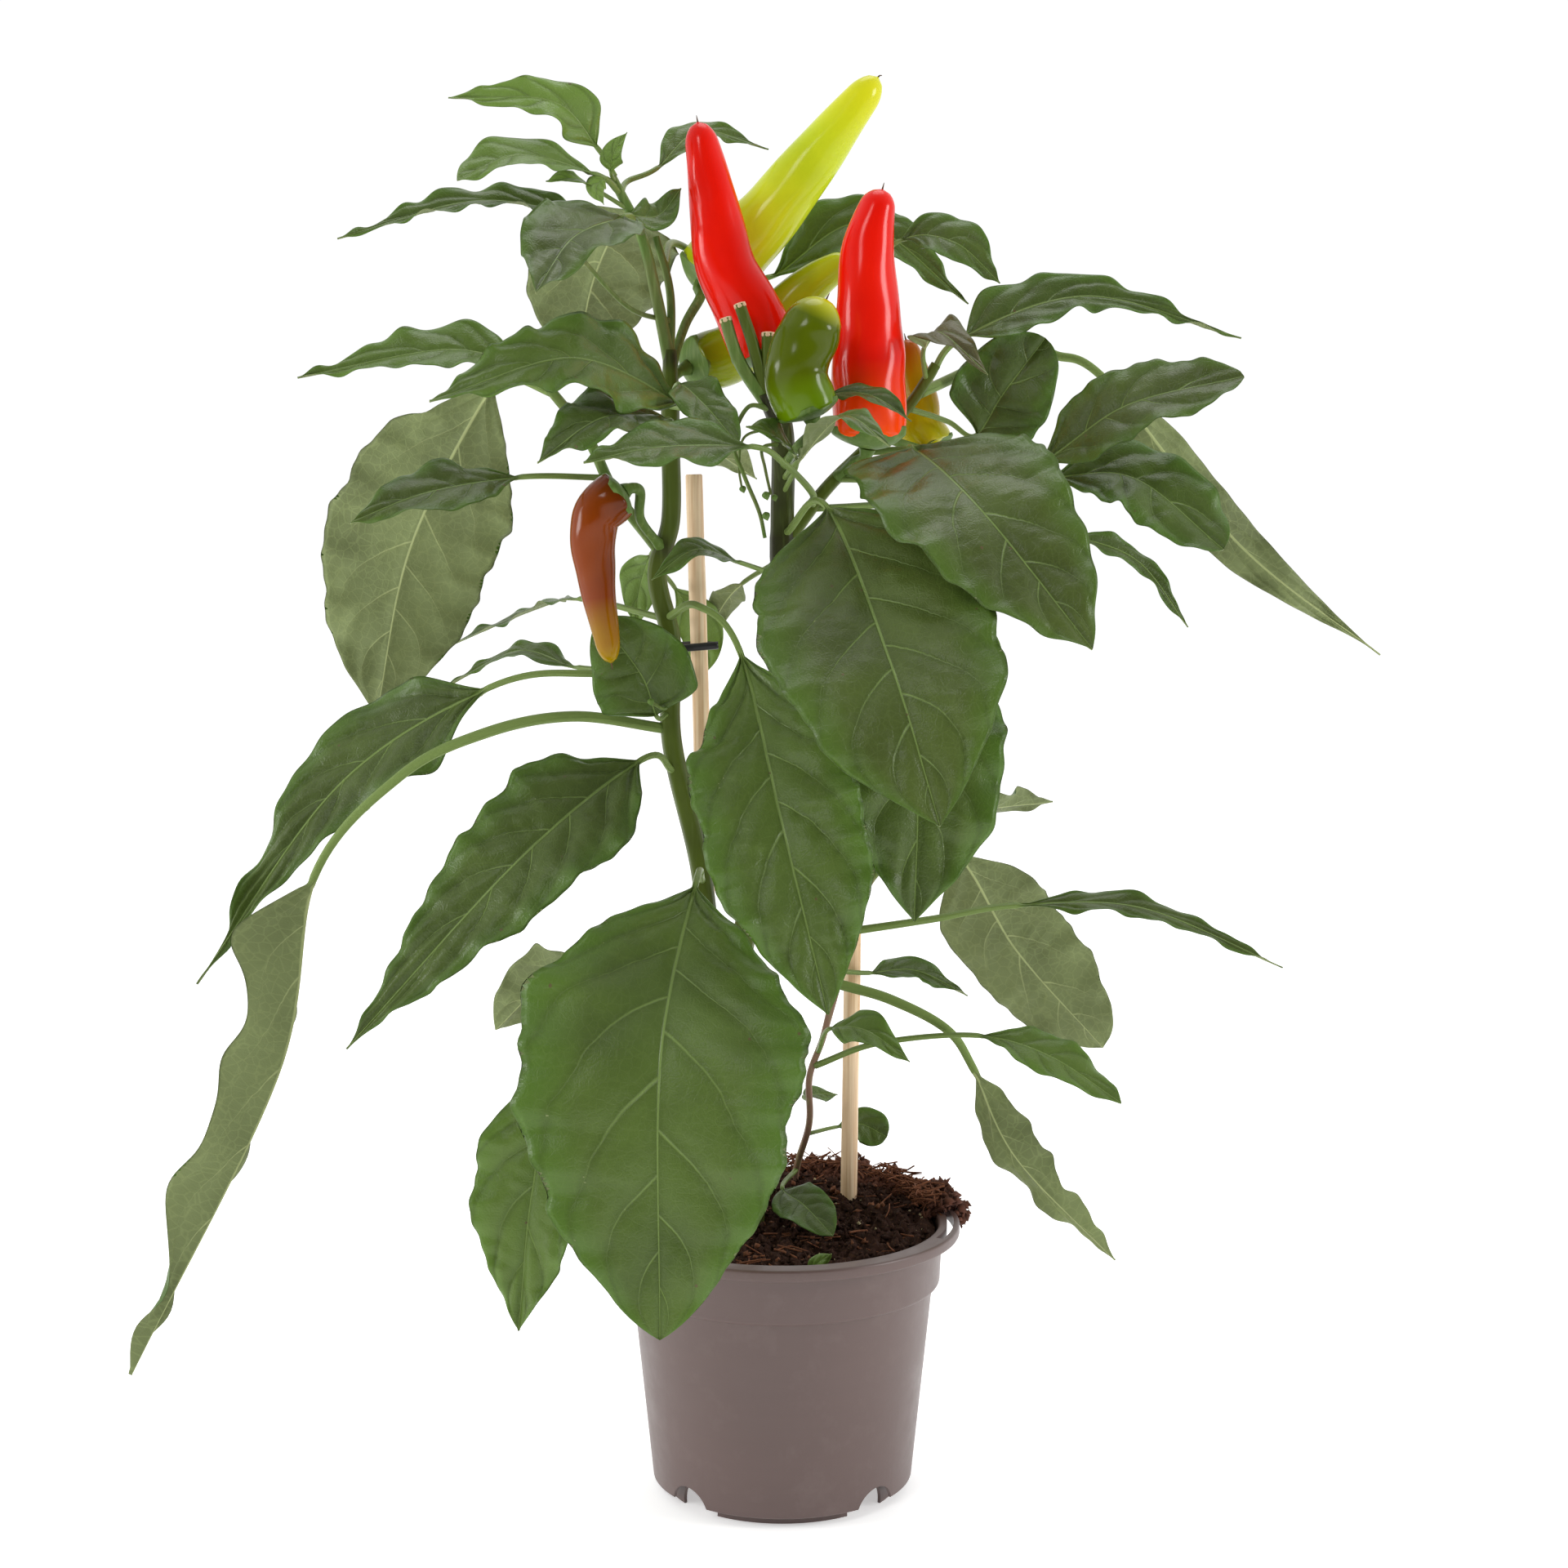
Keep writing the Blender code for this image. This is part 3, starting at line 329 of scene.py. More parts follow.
# Share of a blade taken by its heel, where it is widest, how it narrows to its tip, how wavy it is,
# and how long its waves are
OUTLINE = (0.34, 0.36, 1.25, 1.0, 1.0)
OUTLINES = {
    "leaf_crown_1": (0.30, 0.30, 1.0, 1.0, 1.0),
    "leaf_crown_2": (0.40, 0.60, 0.8, 0.8, 1.0),
    "leaf_crown_4": (0.30, 0.40, 1.3, 1.3, 1.0),
    "leaf_crown_5": (0.30, 0.35, 1.0, 0.8, 1.0),
    "leaf_crown_6": (0.30, 0.40, 0.9, 0.8, 1.0),
    "leaf_left_2": (0.40, 0.50, 0.9, 1.2, 1.0),
    "leaf_left_6": (0.40, 0.50, 0.8, 1.0, 1.0),
    "leaf_left_8": (0.30, 0.30, 1.9, 1.5, 1.6),
    "leaf_left_9": (0.20, 0.45, 1.1, 2.6, 2.6),
    "leaf_left_10": (0.32, 0.35, 1.3, 0.9, 1.0),
    "leaf_left_11": (0.30, 0.45, 0.7, 0.8, 1.0),
    "leaf_front_3": (0.20, 0.40, 0.9, 0.8, 1.0),
    "leaf_front_4": (0.30, 0.40, 0.95, 0.8, 1.0),
    "leaf_front_5": (0.40, 0.50, 1.0, 1.2, 1.0),
    "leaf_front_6": (0.35, 0.45, 1.0, 0.8, 1.0),
    "leaf_front_7": (0.30, 0.40, 0.8, 1.0, 1.0),
    "leaf_front_8": (0.45, 0.50, 0.85, 0.9, 1.0),
    "leaf_back_5": (0.35, 0.45, 0.8, 0.8, 1.0),
    "leaf_right_2": (0.18, 0.22, 1.9, 1.0, 1.0),
    "leaf_right_4": (0.30, 0.50, 0.55, 1.2, 1.0),
    "leaf_right_5": (0.35, 0.50, 0.6, 0.8, 1.0),
    "leaf_right_6": (0.45, 0.62, 0.55, 0.8, 1.0),
    "leaf_right_7": (0.25, 0.32, 1.7, 1.8, 1.4),
    "leaf_low_2": (0.35, 0.55, 0.55, 0.7, 1.0),
    "leaf_low_4": (0.35, 0.40, 1.0, 1.6, 1.0),
    "leaf_low_5": (0.35, 0.50, 0.8, 1.0, 1.0),
    "leaf_low_6": (0.60, 0.70, 0.5, 0.3, 1.0),
    "leaf_low_7": (0.35, 0.45, 1.1, 1.0, 1.0),
    "leaflet_front_3": (0.30, 0.50, 0.7, 1.3, 1.0),
    "leaflet_soil_1": (0.30, 0.50, 0.7, 0.6, 1.0),
}

# Rows along a blade and steps across half of it, for blades longer and shorter than SMALL_BLADE
BLADE_GRID = (110, 15)
SMALL_BLADE_GRID = (48, 8)
SMALL_BLADE = 35

# How far apart the skin patterns of one leaf and the next are
PATTERN_STEP = 37.0

# Leaves with a thicker stalk than the rest
STOUT_STALKS = ("leaf_left_9", "leaf_right_7", "leaf_low_4")

# How young a leaf is: 0 is full grown, 1 is bright young green, and below 0 it turns bronze
TONES = {
    "leaf_crown_1": 0.75, "leaf_crown_2": 0.5, "leaf_crown_3": 0.2, "leaf_crown_5": -0.1,
    "leaf_front_3": -0.2, "leaf_front_4": -0.15, "leaf_front_7": 0.5, "leaf_front_8": 0.2,
    "leaf_back_1": 0.9, "leaf_low_5": 0.3, "leaf_right_3": -0.9, "leaf_left_8": -0.15,
    "leaf_left_10": 0.0, "leaf_left_5": -0.1, "leaf_low_3": -0.1, "leaf_low_7": 0.4, "leaf_left_1": 0.3,
    "leaf_left_3": 0.25, "leaf_right_5": -0.1, "leaf_left_2": 0.2, "leaf_crown_4": 0.15,
    "leaflet_crown_1": 1.0, "leaflet_crown_2": 0.9, "leaflet_crown_3": 1.0, "leaflet_crown_4": 0.1,
    "leaflet_left_1": 0.8, "leaflet_low_2": 0.3, "leaflet_soil_2": 0.8,
}


def rgb(code):
    """An sRGB hex colour as linear red, green and blue."""
    parts = np.array([int(code[i:i + 2], 16) for i in (1, 3, 5)]) / 255
    return tuple(np.where(parts <= 0.04045, parts / 12.92, ((parts + 0.055) / 1.055) ** 2.4).tolist())


def rgba(code):
    return (*rgb(code), 1.0)


# ---------------------------------------------------------------- settings


def colour_setting(name, description, code):
    return FloatVectorProperty(name=name, description=description, subtype="COLOR", size=3,
                               default=rgb(code))


class PotSettings(PropertyGroup):
    turns: IntProperty(name="Turns", description="Steps round the pot", default=192, min=48, max=360)
    plastic: colour_setting("Plastic", "Moulded plastic", "#5b4540")


class SoilSettings(PropertyGroup):
    crumbs: IntProperty(name="Crumbs", description="Loose crumbs of peat", default=1500, min=0, max=4000)
    roughness: FloatProperty(name="Lumps", description="Height of the lumps", default=1.6 * MM,
                             unit="LENGTH")
    peat: colour_setting("Peat", "Moist peat", "#44261a")


class StemSettings(PropertyGroup):
    ribs: IntProperty(name="Ribs", description="Faint ribs along a stem", default=5, min=0, max=9)
    young: colour_setting("Young", "Young stems and stalks", "#587233")
    green: colour_setting("Green", "Main stems", "#4e5c1e")
    old: colour_setting("Old", "Old stem and joints", "#2b2a16")
    brown: colour_setting("Brown", "Foot of the side shoot", "#8a6c5b")


class LeafSettings(PropertyGroup):
    thickness: FloatProperty(name="Thickness", description="Half of the blade's thickness",
                             default=0.22 * MM, unit="LENGTH")
    quilt: FloatProperty(name="Quilting", description="How far the blade puffs up between its veins",
                         default=1.7 * MM, unit="LENGTH")
    wave: FloatProperty(name="Wave", description="How far the margin waves", default=1.6 * MM,
                        unit="LENGTH")
    top: colour_setting("Top", "Upper side", "#4f622a")
    under: colour_setting("Underside", "Lower side", "#7b8757")


class PodSettings(PropertyGroup):
    sides: IntProperty(name="Sides", description="Steps round a pod", default=56, min=16, max=128)


class StageSettings(PropertyGroup):
    lens: FloatProperty(name="Lens", description="Camera focal length in millimetres", default=60.3)
    distance: FloatProperty(name="Distance", description="Camera to the pot's axis", default=0.9406,
                            unit="LENGTH")
    height: FloatProperty(name="Height", description="Camera above the floor", default=0.3675,
                          unit="LENGTH")
    pitch: FloatProperty(name="Pitch", description="How far the camera looks down", default=0.1137,
                         subtype="ANGLE")


# ---------------------------------------------------------------- curves and surfaces


def along_curve(points, ts):
    """The smooth curve through the points, at each t in ts.

    Between two points it is a cubic whose slope at each point is half the step between its neighbours.
    """
    p = np.asarray(points, float)
    p = np.vstack([2 * p[0] - p[1], p, 2 * p[-1] - p[-2]])
    ts = np.asarray(ts, float)
    i = np.clip(ts.astype(int), 0, len(p) - 4)
    u = (ts - i)[:, None]
    p0, p1, p2, p3 = p[i], p[i + 1], p[i + 2], p[i + 3]
    return 0.5 * (2 * p1 + (p2 - p0) * u + (2 * p0 - 5 * p1 + 4 * p2 - p3) * u**2
                  + (3 * p1 - p0 - 3 * p2 + p3) * u**3)


def unit(vectors):
    return vectors / np.maximum(np.linalg.norm(vectors, axis=-1, keepdims=True), 1e-12)


def headings(centres):
    """The direction of travel at each centre."""
    return unit(np.gradient(centres, axis=0))


def smooth(low, high, x):
    """0 below low, 1 above high, and an s-shaped cubic between."""
    t = np.clip((x - low) / (high - low), 0, 1)
    return t * t * (3 - 2 * t)


def swept_faces(rows, sides):
    """Quads joining each ring to the next, and a fan from each end ring to its own middle point."""
    k = np.arange(sides)
    after = (k + 1) % sides
    base = (np.arange(rows - 1) * sides)[:, None]
    quads = np.stack([base + k, base + after, base + sides + after, base + sides + k], -1).reshape(-1, 4)
    first = rows * sides
    last = (rows - 1) * sides
    start = np.stack([k, np.full(sides, first), after], -1)
    end = np.stack([last + k, last + after, np.full(sides, first + 1)], -1)
    return quads, np.vstack([start, end])


def add_piece(name, points, quads, triangles, material, nodes=(), values=None, smooth_shaded=True):
    """A mesh from points in millimetres and whole arrays of faces, riding on the plant's one body."""
    mesh = bpy.data.meshes.new(name)
    points = np.asarray(points, float) * MM
    corners = np.concatenate([np.asarray(quads, int).reshape(-1), np.asarray(triangles, int).reshape(-1)])
    sizes = np.concatenate([np.full(len(quads), 4), np.full(len(triangles), 3)])
    mesh.vertices.add(len(points))
    mesh.vertices.foreach_set("co", points.astype(np.float32).reshape(-1))
    mesh.loops.add(len(corners))
    mesh.loops.foreach_set("vertex_index", corners.astype(np.int32))
    mesh.polygons.add(len(sizes))
    mesh.polygons.foreach_set("loop_start", (np.cumsum(sizes) - sizes).astype(np.int32))
    mesh.update(calc_edges=True)
    mesh.validate()
    for key, value in (values or {}).items():
        layer = mesh.attributes.new(key, "FLOAT", "POINT")
        filled = np.broadcast_to(np.asarray(value, np.float32), len(points)).copy()
        layer.data.foreach_set("value", filled)
    if smooth_shaded:
        mesh.shade_smooth()
    mesh.materials.append(material)
    piece = bpy.data.objects.new(name, mesh)
    bpy.context.scene.collection.objects.link(piece)
    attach(piece, BODY)
    if nodes:
        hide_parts(*nodes)
    return piece


def tube(centres, radii, sides, ribs=0, rib_depth=0.0):
    """Rings of points round a path: centre + radius (cos a, sin a) in the plane square to the path.

    The plane's first direction is carried along the path with as little turning as possible.
    """
    along = headings(centres)
    frame_side = np.cross(along[0], (0.3, 0.9, 0.1))
    firsts = []
    for direction in along:
        frame_side = unit(frame_side - direction * frame_side.dot(direction))
        firsts.append(frame_side)
    first = np.array(firsts)
    second = np.cross(along, first)
    a = np.linspace(0, 2 * math.pi, sides, endpoint=False)
    shape = 1 + rib_depth * np.cos(ribs * a)
    if np.ndim(radii) < 2:
        radii = np.asarray(radii, float)[:, None] * shape
    ring = first[:, None] * np.cos(a)[:, None] + second[:, None] * np.sin(a)[:, None]
    return centres[:, None] + ring * radii[..., None]


def add_tube(name, centres, radii, sides, material, slot, nodes=(), values=None, **shape):
    """A closed tube with its ends capped; values hold one number for each ring."""
    rings = tube(centres, radii, sides, **shape)
    rows = len(centres)
    points = np.vstack([rings.reshape(-1, 3), centres[:1], centres[-1:]])
    quads, fans = swept_faces(rows, sides)
    spread = {}
    for key, value in (values or {}).items():
        value = np.broadcast_to(np.asarray(value, float), rows)
        spread[key] = np.concatenate([np.repeat(value, sides), value[:1], value[-1:]])
    return add_piece(name, points, quads, fans, material, nodes, spread)


def stem_at(name, height):
    """Centre, radius and direction of a stem where it passes the height."""
    route, foot, end = STEMS[name]
    ts = np.linspace(0, len(route) - 1, 40 * len(route))
    line = along_curve(route, ts)
    best = int(np.abs(line[:, 2] - height).argmin())
    return line[best], foot + (end - foot) * ts[best] / ts[-1], headings(line)[best]


def joint_point(stem, height, towards):
    """Where a stalk leaves a stem: just under its skin, on the side of the next point."""
    centre, radius, axis = stem_at(stem, height)
    out = np.array(towards, float) - centre
    out = unit(out - axis * out.dot(axis))
    return centre + out * radius * 0.6


# ---------------------------------------------------------------- finishes


def node(tree, kind, inputs=None, out=0, **settings):
    """Adds a node with its settings, fills or links its inputs, and returns the output asked for."""
    made = tree.nodes.new(kind)
    for key, value in settings.items():
        setattr(made, key, value)
    for key, value in (inputs or {}).items():
        if isinstance(value, bpy.types.NodeSocket):
            tree.links.new(value, made.inputs[key])
        else:
            made.inputs[key].default_value = value
    return made.outputs[out]


def mixed(tree, share, low, high):
    """A blend of two colours: low where the share is 0 and high where it is 1."""
    return node(tree, "ShaderNodeMix", {0: share, 6: low, 7: high}, 2, data_type="RGBA")


def ranged(tree, value, *span):
    """A value carried from one span to another, given as from low, from high, to low, to high."""
    return node(tree, "ShaderNodeMapRange", {"Value": value, **dict(enumerate(span, 1))})


def maths(tree, operation, *values, **settings):
    return node(tree, "ShaderNodeMath", dict(enumerate(values)), operation=operation, **settings)


def noise(tree, place, scale, detail, roughness=0.5):
    return node(tree, "ShaderNodeTexNoise",
                {"Vector": place, "Scale": scale, "Detail": detail, "Roughness": roughness})


def cells(tree, place, scale):
    """The distance to the nearest of a scatter of points."""
    return node(tree, "ShaderNodeTexVoronoi", {"Vector": place, "Scale": scale}, "Distance")


def place_on(tree):
    """The place on the object, in metres."""
    return node(tree, "ShaderNodeTexCoord", out="Object")


def stretched(tree, place, scale):
    return node(tree, "ShaderNodeMapping", {"Vector": place, "Scale": scale})


def bumped(tree, height, strength, distance, **under):
    """A surface direction bent by a relief, over another such relief if one is given."""
    sizes = {"Strength": strength, "Distance": distance}
    return node(tree, "ShaderNodeBump", {"Height": height, **sizes, **under})


def new_finish(name):
    """An empty material and its Principled shader."""
    finish = bpy.data.materials.new(name)
    finish.use_nodes = True
    return finish, finish.node_tree, finish.node_tree.nodes["Principled BSDF"]


def link(tree, output, shader, name):
    tree.links.new(output, shader.inputs[name])


def moulded_plastic(colour):
    """Injection-moulded polypropylene: satin, with a fine grain, faint rings and scuffs that go pale."""
    finish, tree, shader = new_finish("moulded_polypropylene")
    shader.inputs["IOR"].default_value = 1.49
    shader.inputs["Specular IOR Level"].default_value = 0.75
    place = place_on(tree)
    flow = stretched(tree, place, (14, 14, 260))
    rings = noise(tree, flow, 1.0, 3.0)
    grain = noise(tree, place, 1400.0, 2.0)
    scuffs = noise(tree, place, 55.0, 6.0, 0.7)
    pale = ranged(tree, scuffs, 0.52, 0.75, 0.0, 0.10)
    tint = mixed(tree, rings, (*[c * 0.9 for c in colour], 1), (*colour, 1))
    worn = mixed(tree, pale, tint, rgba("#a39692"))
    link(tree, worn, shader, "Base Color")
    rough = ranged(tree, scuffs, 0.3, 0.7, 0.34, 0.5)
    link(tree, rough, shader, "Roughness")
    bump = bumped(tree, grain, 0.08, 0.0002)
    bump = bumped(tree, rings, 0.06, 0.0004, Normal=bump)
    link(tree, bump, shader, "Normal")
    return finish


def moist_peat(colour):
    """Milled peat, moist: near black in its pores, red brown on dry fibres, with pale specks of grit."""
    finish, tree, shader = new_finish("moist_peat")
    shader.inputs["Specular IOR Level"].default_value = 0.25
    place = place_on(tree)
    clods = noise(tree, place, 260.0, 8.0, 0.75)
    fibres = noise(tree, place, 900.0, 4.0)
    specks = cells(tree, place, 520.0)
    dark = mixed(tree, clods, rgba("#190e09"), (*colour, 1))
    dry = ranged(tree, fibres, 0.55, 0.72, 0.0, 0.75)
    brown = mixed(tree, dry, dark, rgba("#5a3d29"))
    grit = ranged(tree, specks, 0.10, 0.05, 0.0, 0.8)
    colour_out = mixed(tree, grit, brown, rgba("#9a8560"))
    link(tree, colour_out, shader, "Base Color")
    shader.inputs["Roughness"].default_value = 0.93
    bump = bumped(tree, clods, 0.9, 0.0012)
    link(tree, bump, shader, "Normal")
    return finish


def plain_matter(name, low, high, scale, roughness, bump=0.3):
    """Loose natural matter: two shades in a noise of the given scale, with the same noise as its relief."""
    finish, tree, shader = new_finish(name)
    shade = noise(tree, place_on(tree), scale, 5.0)
    blend = mixed(tree, shade, rgba(low), rgba(high))
    link(tree, blend, shader, "Base Color")
    shader.inputs["Roughness"].default_value = roughness
    relief = bumped(tree, shade, bump, 0.0004)
    link(tree, relief, shader, "Normal")
    return finish


def split_bamboo():
    """Bamboo dowel: straw coloured, with fibres along it 1 mm apart or closer, and a few dark flecks."""
    finish, tree, shader = new_finish("bamboo_dowel")
    place = place_on(tree)
    grain_place = stretched(tree, place, (1100, 1100, 26))
    grain = noise(tree, grain_place, 1.0, 5.0)
    broad_place = stretched(tree, place, (180, 180, 9))
    broad = noise(tree, broad_place, 1.0, 2.0)
    flecks = cells(tree, grain_place, 0.55)
    straw = mixed(tree, broad, rgba("#f2c898"), rgba("#fff0d4"))
    lined = ranged(tree, grain, 0.35, 0.65, 0.75, 0.0)
    fibre = mixed(tree, lined, straw, rgba("#d8aa7a"))
    spot = ranged(tree, flecks, 0.10, 0.03, 0.0, 0.7)
    out = mixed(tree, spot, fibre, rgba("#4a3020"))
    link(tree, out, shader, "Base Color")
    shader.inputs["Roughness"].default_value = 0.55
    bump = bumped(tree, grain, 0.25, 0.0002)
    link(tree, bump, shader, "Normal")
    return finish


def stem_skin(name, green, old, streak_colour):
    """A soft woody stem: waxy green with fine lengthwise lines, and the older shade at joints and foot."""
    finish, tree, shader = new_finish(name)
    place = place_on(tree)
    age = node(tree, "ShaderNodeAttribute", out="Fac", attribute_name="age")
    lines_place = stretched(tree, place, (700, 700, 30))
    lines = noise(tree, lines_place, 1.0, 4.0)
    cloud = noise(tree, place, 60.0, 3.0)
    spread = maths(tree, "SUBTRACT", cloud, 0.5)
    aged = maths(tree, "MULTIPLY_ADD", spread, 0.9, age, use_clamp=True)
    skin = mixed(tree, aged, (*green, 1), (*old, 1))
    streak = ranged(tree, lines, 0.5, 0.75, 0.0, 0.45)
    out = mixed(tree, streak, skin, rgba(streak_colour))
    link(tree, out, shader, "Base Color")
    shader.inputs["Roughness"].default_value = 0.42
    shader.inputs["Specular IOR Level"].default_value = 0.15
    bump = bumped(tree, lines, 0.3, 0.0003)
    link(tree, bump, shader, "Normal")
    return finish


def leaf_skin(top, under):
    """A chilli leaf: satin green above with pale sunk veins, greyer and duller below with raised ones.

    Side veins leave the midrib in turn and curve to the tip; a net about 3 mm wide lies between them. On top,
    a painted shade darkens a band along each side vein, in its groove.
    """
    finish, tree, shader = new_finish("leaf_skin")
    named = {key: node(tree, "ShaderNodeAttribute", out="Fac", attribute_name=key)
             for key in ("across", "off", "run", "phase", "below", "blade", "tone", "rib")}
    lower_side = ranged(tree, named["below"], 0.45, 0.55)
    place = place_on(tree)
    right = maths(tree, "GREATER_THAN", named["across"], 0.0)
    turn = maths(tree, "MULTIPLY_ADD", right, 0.5, named["phase"])
    cycle = maths(tree, "PINGPONG", turn, 0.5)
    margin = maths(tree, "ABSOLUTE", named["across"])
    narrow = ranged(tree, margin, 0.0, 0.9, 0.034, 0.012)
    side_vein = ranged(tree, cycle, narrow, 0.004, 0.0, 1.0)
    shoulder = ranged(tree, cycle, 0.16, 0.0, 0.0, 1.0)
    off = maths(tree, "ABSOLUTE", named["off"])
    rib_edge = maths(tree, "MULTIPLY", named["rib"], 0.45)
    midrib = ranged(tree, off, named["rib"], rib_edge, 0.0, 1.0)
    fade = ranged(tree, margin, 0.1, 0.85, 0.75, 0.0)
    faded = maths(tree, "MULTIPLY", side_vein, fade)
    veins = maths(tree, "MAXIMUM", faded, midrib)
    on_blade = node(tree, "ShaderNodeCombineXYZ", {0: named["off"], 1: named["run"], 2: 0.0})
    net = node(tree, "ShaderNodeTexVoronoi", {"Vector": on_blade, "Scale": 0.3, "Randomness": 0.9},
               "Distance", feature="DISTANCE_TO_EDGE")
    net_line = ranged(tree, net, 0.08, 0.01, 0.0, 1.0)
    blotch = noise(tree, place, 34.0, 4.0)
    patch = ranged(tree, blotch, 0.32, 0.68, 0.0, 1.0)
    fine = noise(tree, on_blade, 1.4, 5.0)
    spots = cells(tree, on_blade, 0.085)
    speck = ranged(tree, spots, 0.055, 0.035, 0.0, 0.75)
    deep = tuple(c * 0.62 for c in top)
    lush = tuple(c * k for c, k in zip(top, (0.95, 1.35, 0.75)))
    shade = mixed(tree, patch, (*deep, 1), (*top, 1))
    rim_share = ranged(tree, margin, 0.55, 1.0, 0.0, 0.7)
    shade = mixed(tree, rim_share, shade, (*lush, 1))
    young = maths(tree, "MAXIMUM", named["tone"], 0.0)
    shade = mixed(tree, young, shade, rgba("#728f40"))
    bronze = maths(tree, "MULTIPLY", named["tone"], -1.0, use_clamp=True)
    shade = mixed(tree, bronze, shade, rgba("#4f4a26"))
    # Painted shade: the top's green darkens towards the deep green in a band along each side vein, where the
    # blade dips into the vein's groove.
    painted_vein_shade = maths(tree, "MULTIPLY", shoulder, 0.35)
    shade = mixed(tree, painted_vein_shade, shade, (*deep, 1))
    netted = maths(tree, "MULTIPLY", net_line, 0.06)
    upper = mixed(tree, netted, shade, rgba("#7c9150"))
    vein_share = maths(tree, "MULTIPLY", veins, 0.8)
    upper = mixed(tree, vein_share, upper, rgba("#7d9450"))
    upper = mixed(tree, speck, upper, rgba("#5c4a34"))
    dull = tuple(c * 0.7 for c in under)
    lower = mixed(tree, patch, (*dull, 1), (*under, 1))
    under_net = maths(tree, "MULTIPLY", net_line, 0.25)
    lower = mixed(tree, under_net, lower, rgba("#97a46a"))
    lower = mixed(tree, veins, lower, rgba("#aab47c"))
    blade = mixed(tree, lower_side, upper, lower)
    out = mixed(tree, named["blade"], rgba("#728746"), blade)
    link(tree, out, shader, "Base Color")
    rough = ranged(tree, lower_side, 0.0, 1.0, 0.31, 0.62)
    link(tree, rough, shader, "Roughness")
    shader.inputs["IOR"].default_value = 1.40
    shader.inputs["Specular IOR Level"].default_value = 0.36
    relief = maths(tree, "MULTIPLY_ADD", fine, 0.6, veins)
    relief = maths(tree, "MULTIPLY_ADD", net_line, 0.12, relief)
    sign = ranged(tree, lower_side, 0.0, 1.0, -1.0, 1.0)
    height = maths(tree, "MULTIPLY", relief, sign)
    bump = bumped(tree, height, 0.6, 0.0005)
    link(tree, bump, shader, "Normal")
    return finish


def pod_skin(name, foot, body, tip, blush):
    """A ripening pod: a thin clear wax over coloured flesh, foot to tip, with a blush in soft patches."""
    finish, tree, shader = new_finish(name)
    run = node(tree, "ShaderNodeAttribute", out="Fac", attribute_name="run")
    place = place_on(tree)
    patches = noise(tree, place, 42.0, 2.0)
    lower = ranged(tree, run, 0.0, 0.32, 0.0, 1.0)
    upper = ranged(tree, run, 0.75, 1.0, 0.0, 1.0)
    flesh = mixed(tree, lower, rgba(foot), rgba(body))
    flesh = mixed(tree, upper, flesh, rgba(tip))
    share = ranged(tree, patches, 0.45, 0.72, 0.0, 0.6)
    flesh = mixed(tree, share, flesh, rgba(blush))
    link(tree, flesh, shader, "Base Color")
    shader.inputs["Roughness"].default_value = 0.17
    shader.inputs["IOR"].default_value = 1.42
    shader.inputs["Specular IOR Level"].default_value = 0.3
    dimples = noise(tree, place, 150.0, 1.0)
    bump = bumped(tree, patches, 0.12, 0.002)
    bump = bumped(tree, dimples, 0.02, 0.001, Normal=bump)
    link(tree, bump, shader, "Normal")
    return finish


# ---------------------------------------------------------------- pot and soil


def turned_surface(profile, turns):
    """A closed surface: each (radius, height) of a profile carried round Z, from axis to axis."""
    inner = np.array(profile[1:-1], float)
    a = np.linspace(0, 2 * math.pi, turns, endpoint=False)
    radius = inner[:, 0][:, None]
    rings = np.stack([radius * np.cos(a), radius * np.sin(a), np.broadcast_to(inner[:, 1][:, None],
                     (len(inner), turns))], -1)
    ends = np.array([(0, 0, profile[0][1]), (0, 0, profile[-1][1])], float)
    quads, fans = swept_faces(len(inner), turns)
    return np.vstack([rings.reshape(-1, 3), ends]), quads, fans


def wall_radius(height):
    spread = WALL_TOP_RADIUS - WALL_FOOT_RADIUS
    return WALL_FOOT_RADIUS + spread * (height - WALL_FOOT) / (WALL_TOP - WALL_FOOT)


def rounded(corners, steps=5):
    """An outline through corners of (radius, height, rounding), each rounded off by that much."""
    out = [corners[0][:2]]
    for before, (x, z, size), after in zip(corners, corners[1:], corners[2:]):
        here = np.array((x, z), float)
        back = np.array(before[:2], float) - here
        on = np.array(after[:2], float) - here
        reach = min(size, 0.45 * np.linalg.norm(back), 0.45 * np.linalg.norm(on))
        start = here + back / np.linalg.norm(back) * reach
        end = here + on / np.linalg.norm(on) * reach
        for u in np.linspace(0, 1, steps):
            out.append(tuple((1 - u) ** 2 * start + 2 * u * (1 - u) * here + u**2 * end))
    out.append(corners[-1][:2])
    return out


def cut(piece, name, points, quads, triangles):
    """Cuts a closed shape out of a piece and leaves nothing of the cutter behind."""
    mesh = bpy.data.meshes.new(name)
    faces = [tuple(f) for f in np.asarray(quads, int).tolist()] + [tuple(f) for f in triangles]
    mesh.from_pydata((np.asarray(points, float) * MM).tolist(), [], faces)
    cutter = bpy.data.objects.new(name, mesh)
    bpy.context.scene.collection.objects.link(cutter)
    modifier = piece.modifiers.new(name, "BOOLEAN")
    modifier.operation = "DIFFERENCE"
    modifier.solver = "EXACT"
    modifier.object = cutter
    with bpy.context.temp_override(object=piece, active_object=piece, selected_objects=[piece]):
        bpy.ops.object.modifier_apply(modifier=modifier.name)
    bpy.data.objects.remove(cutter)


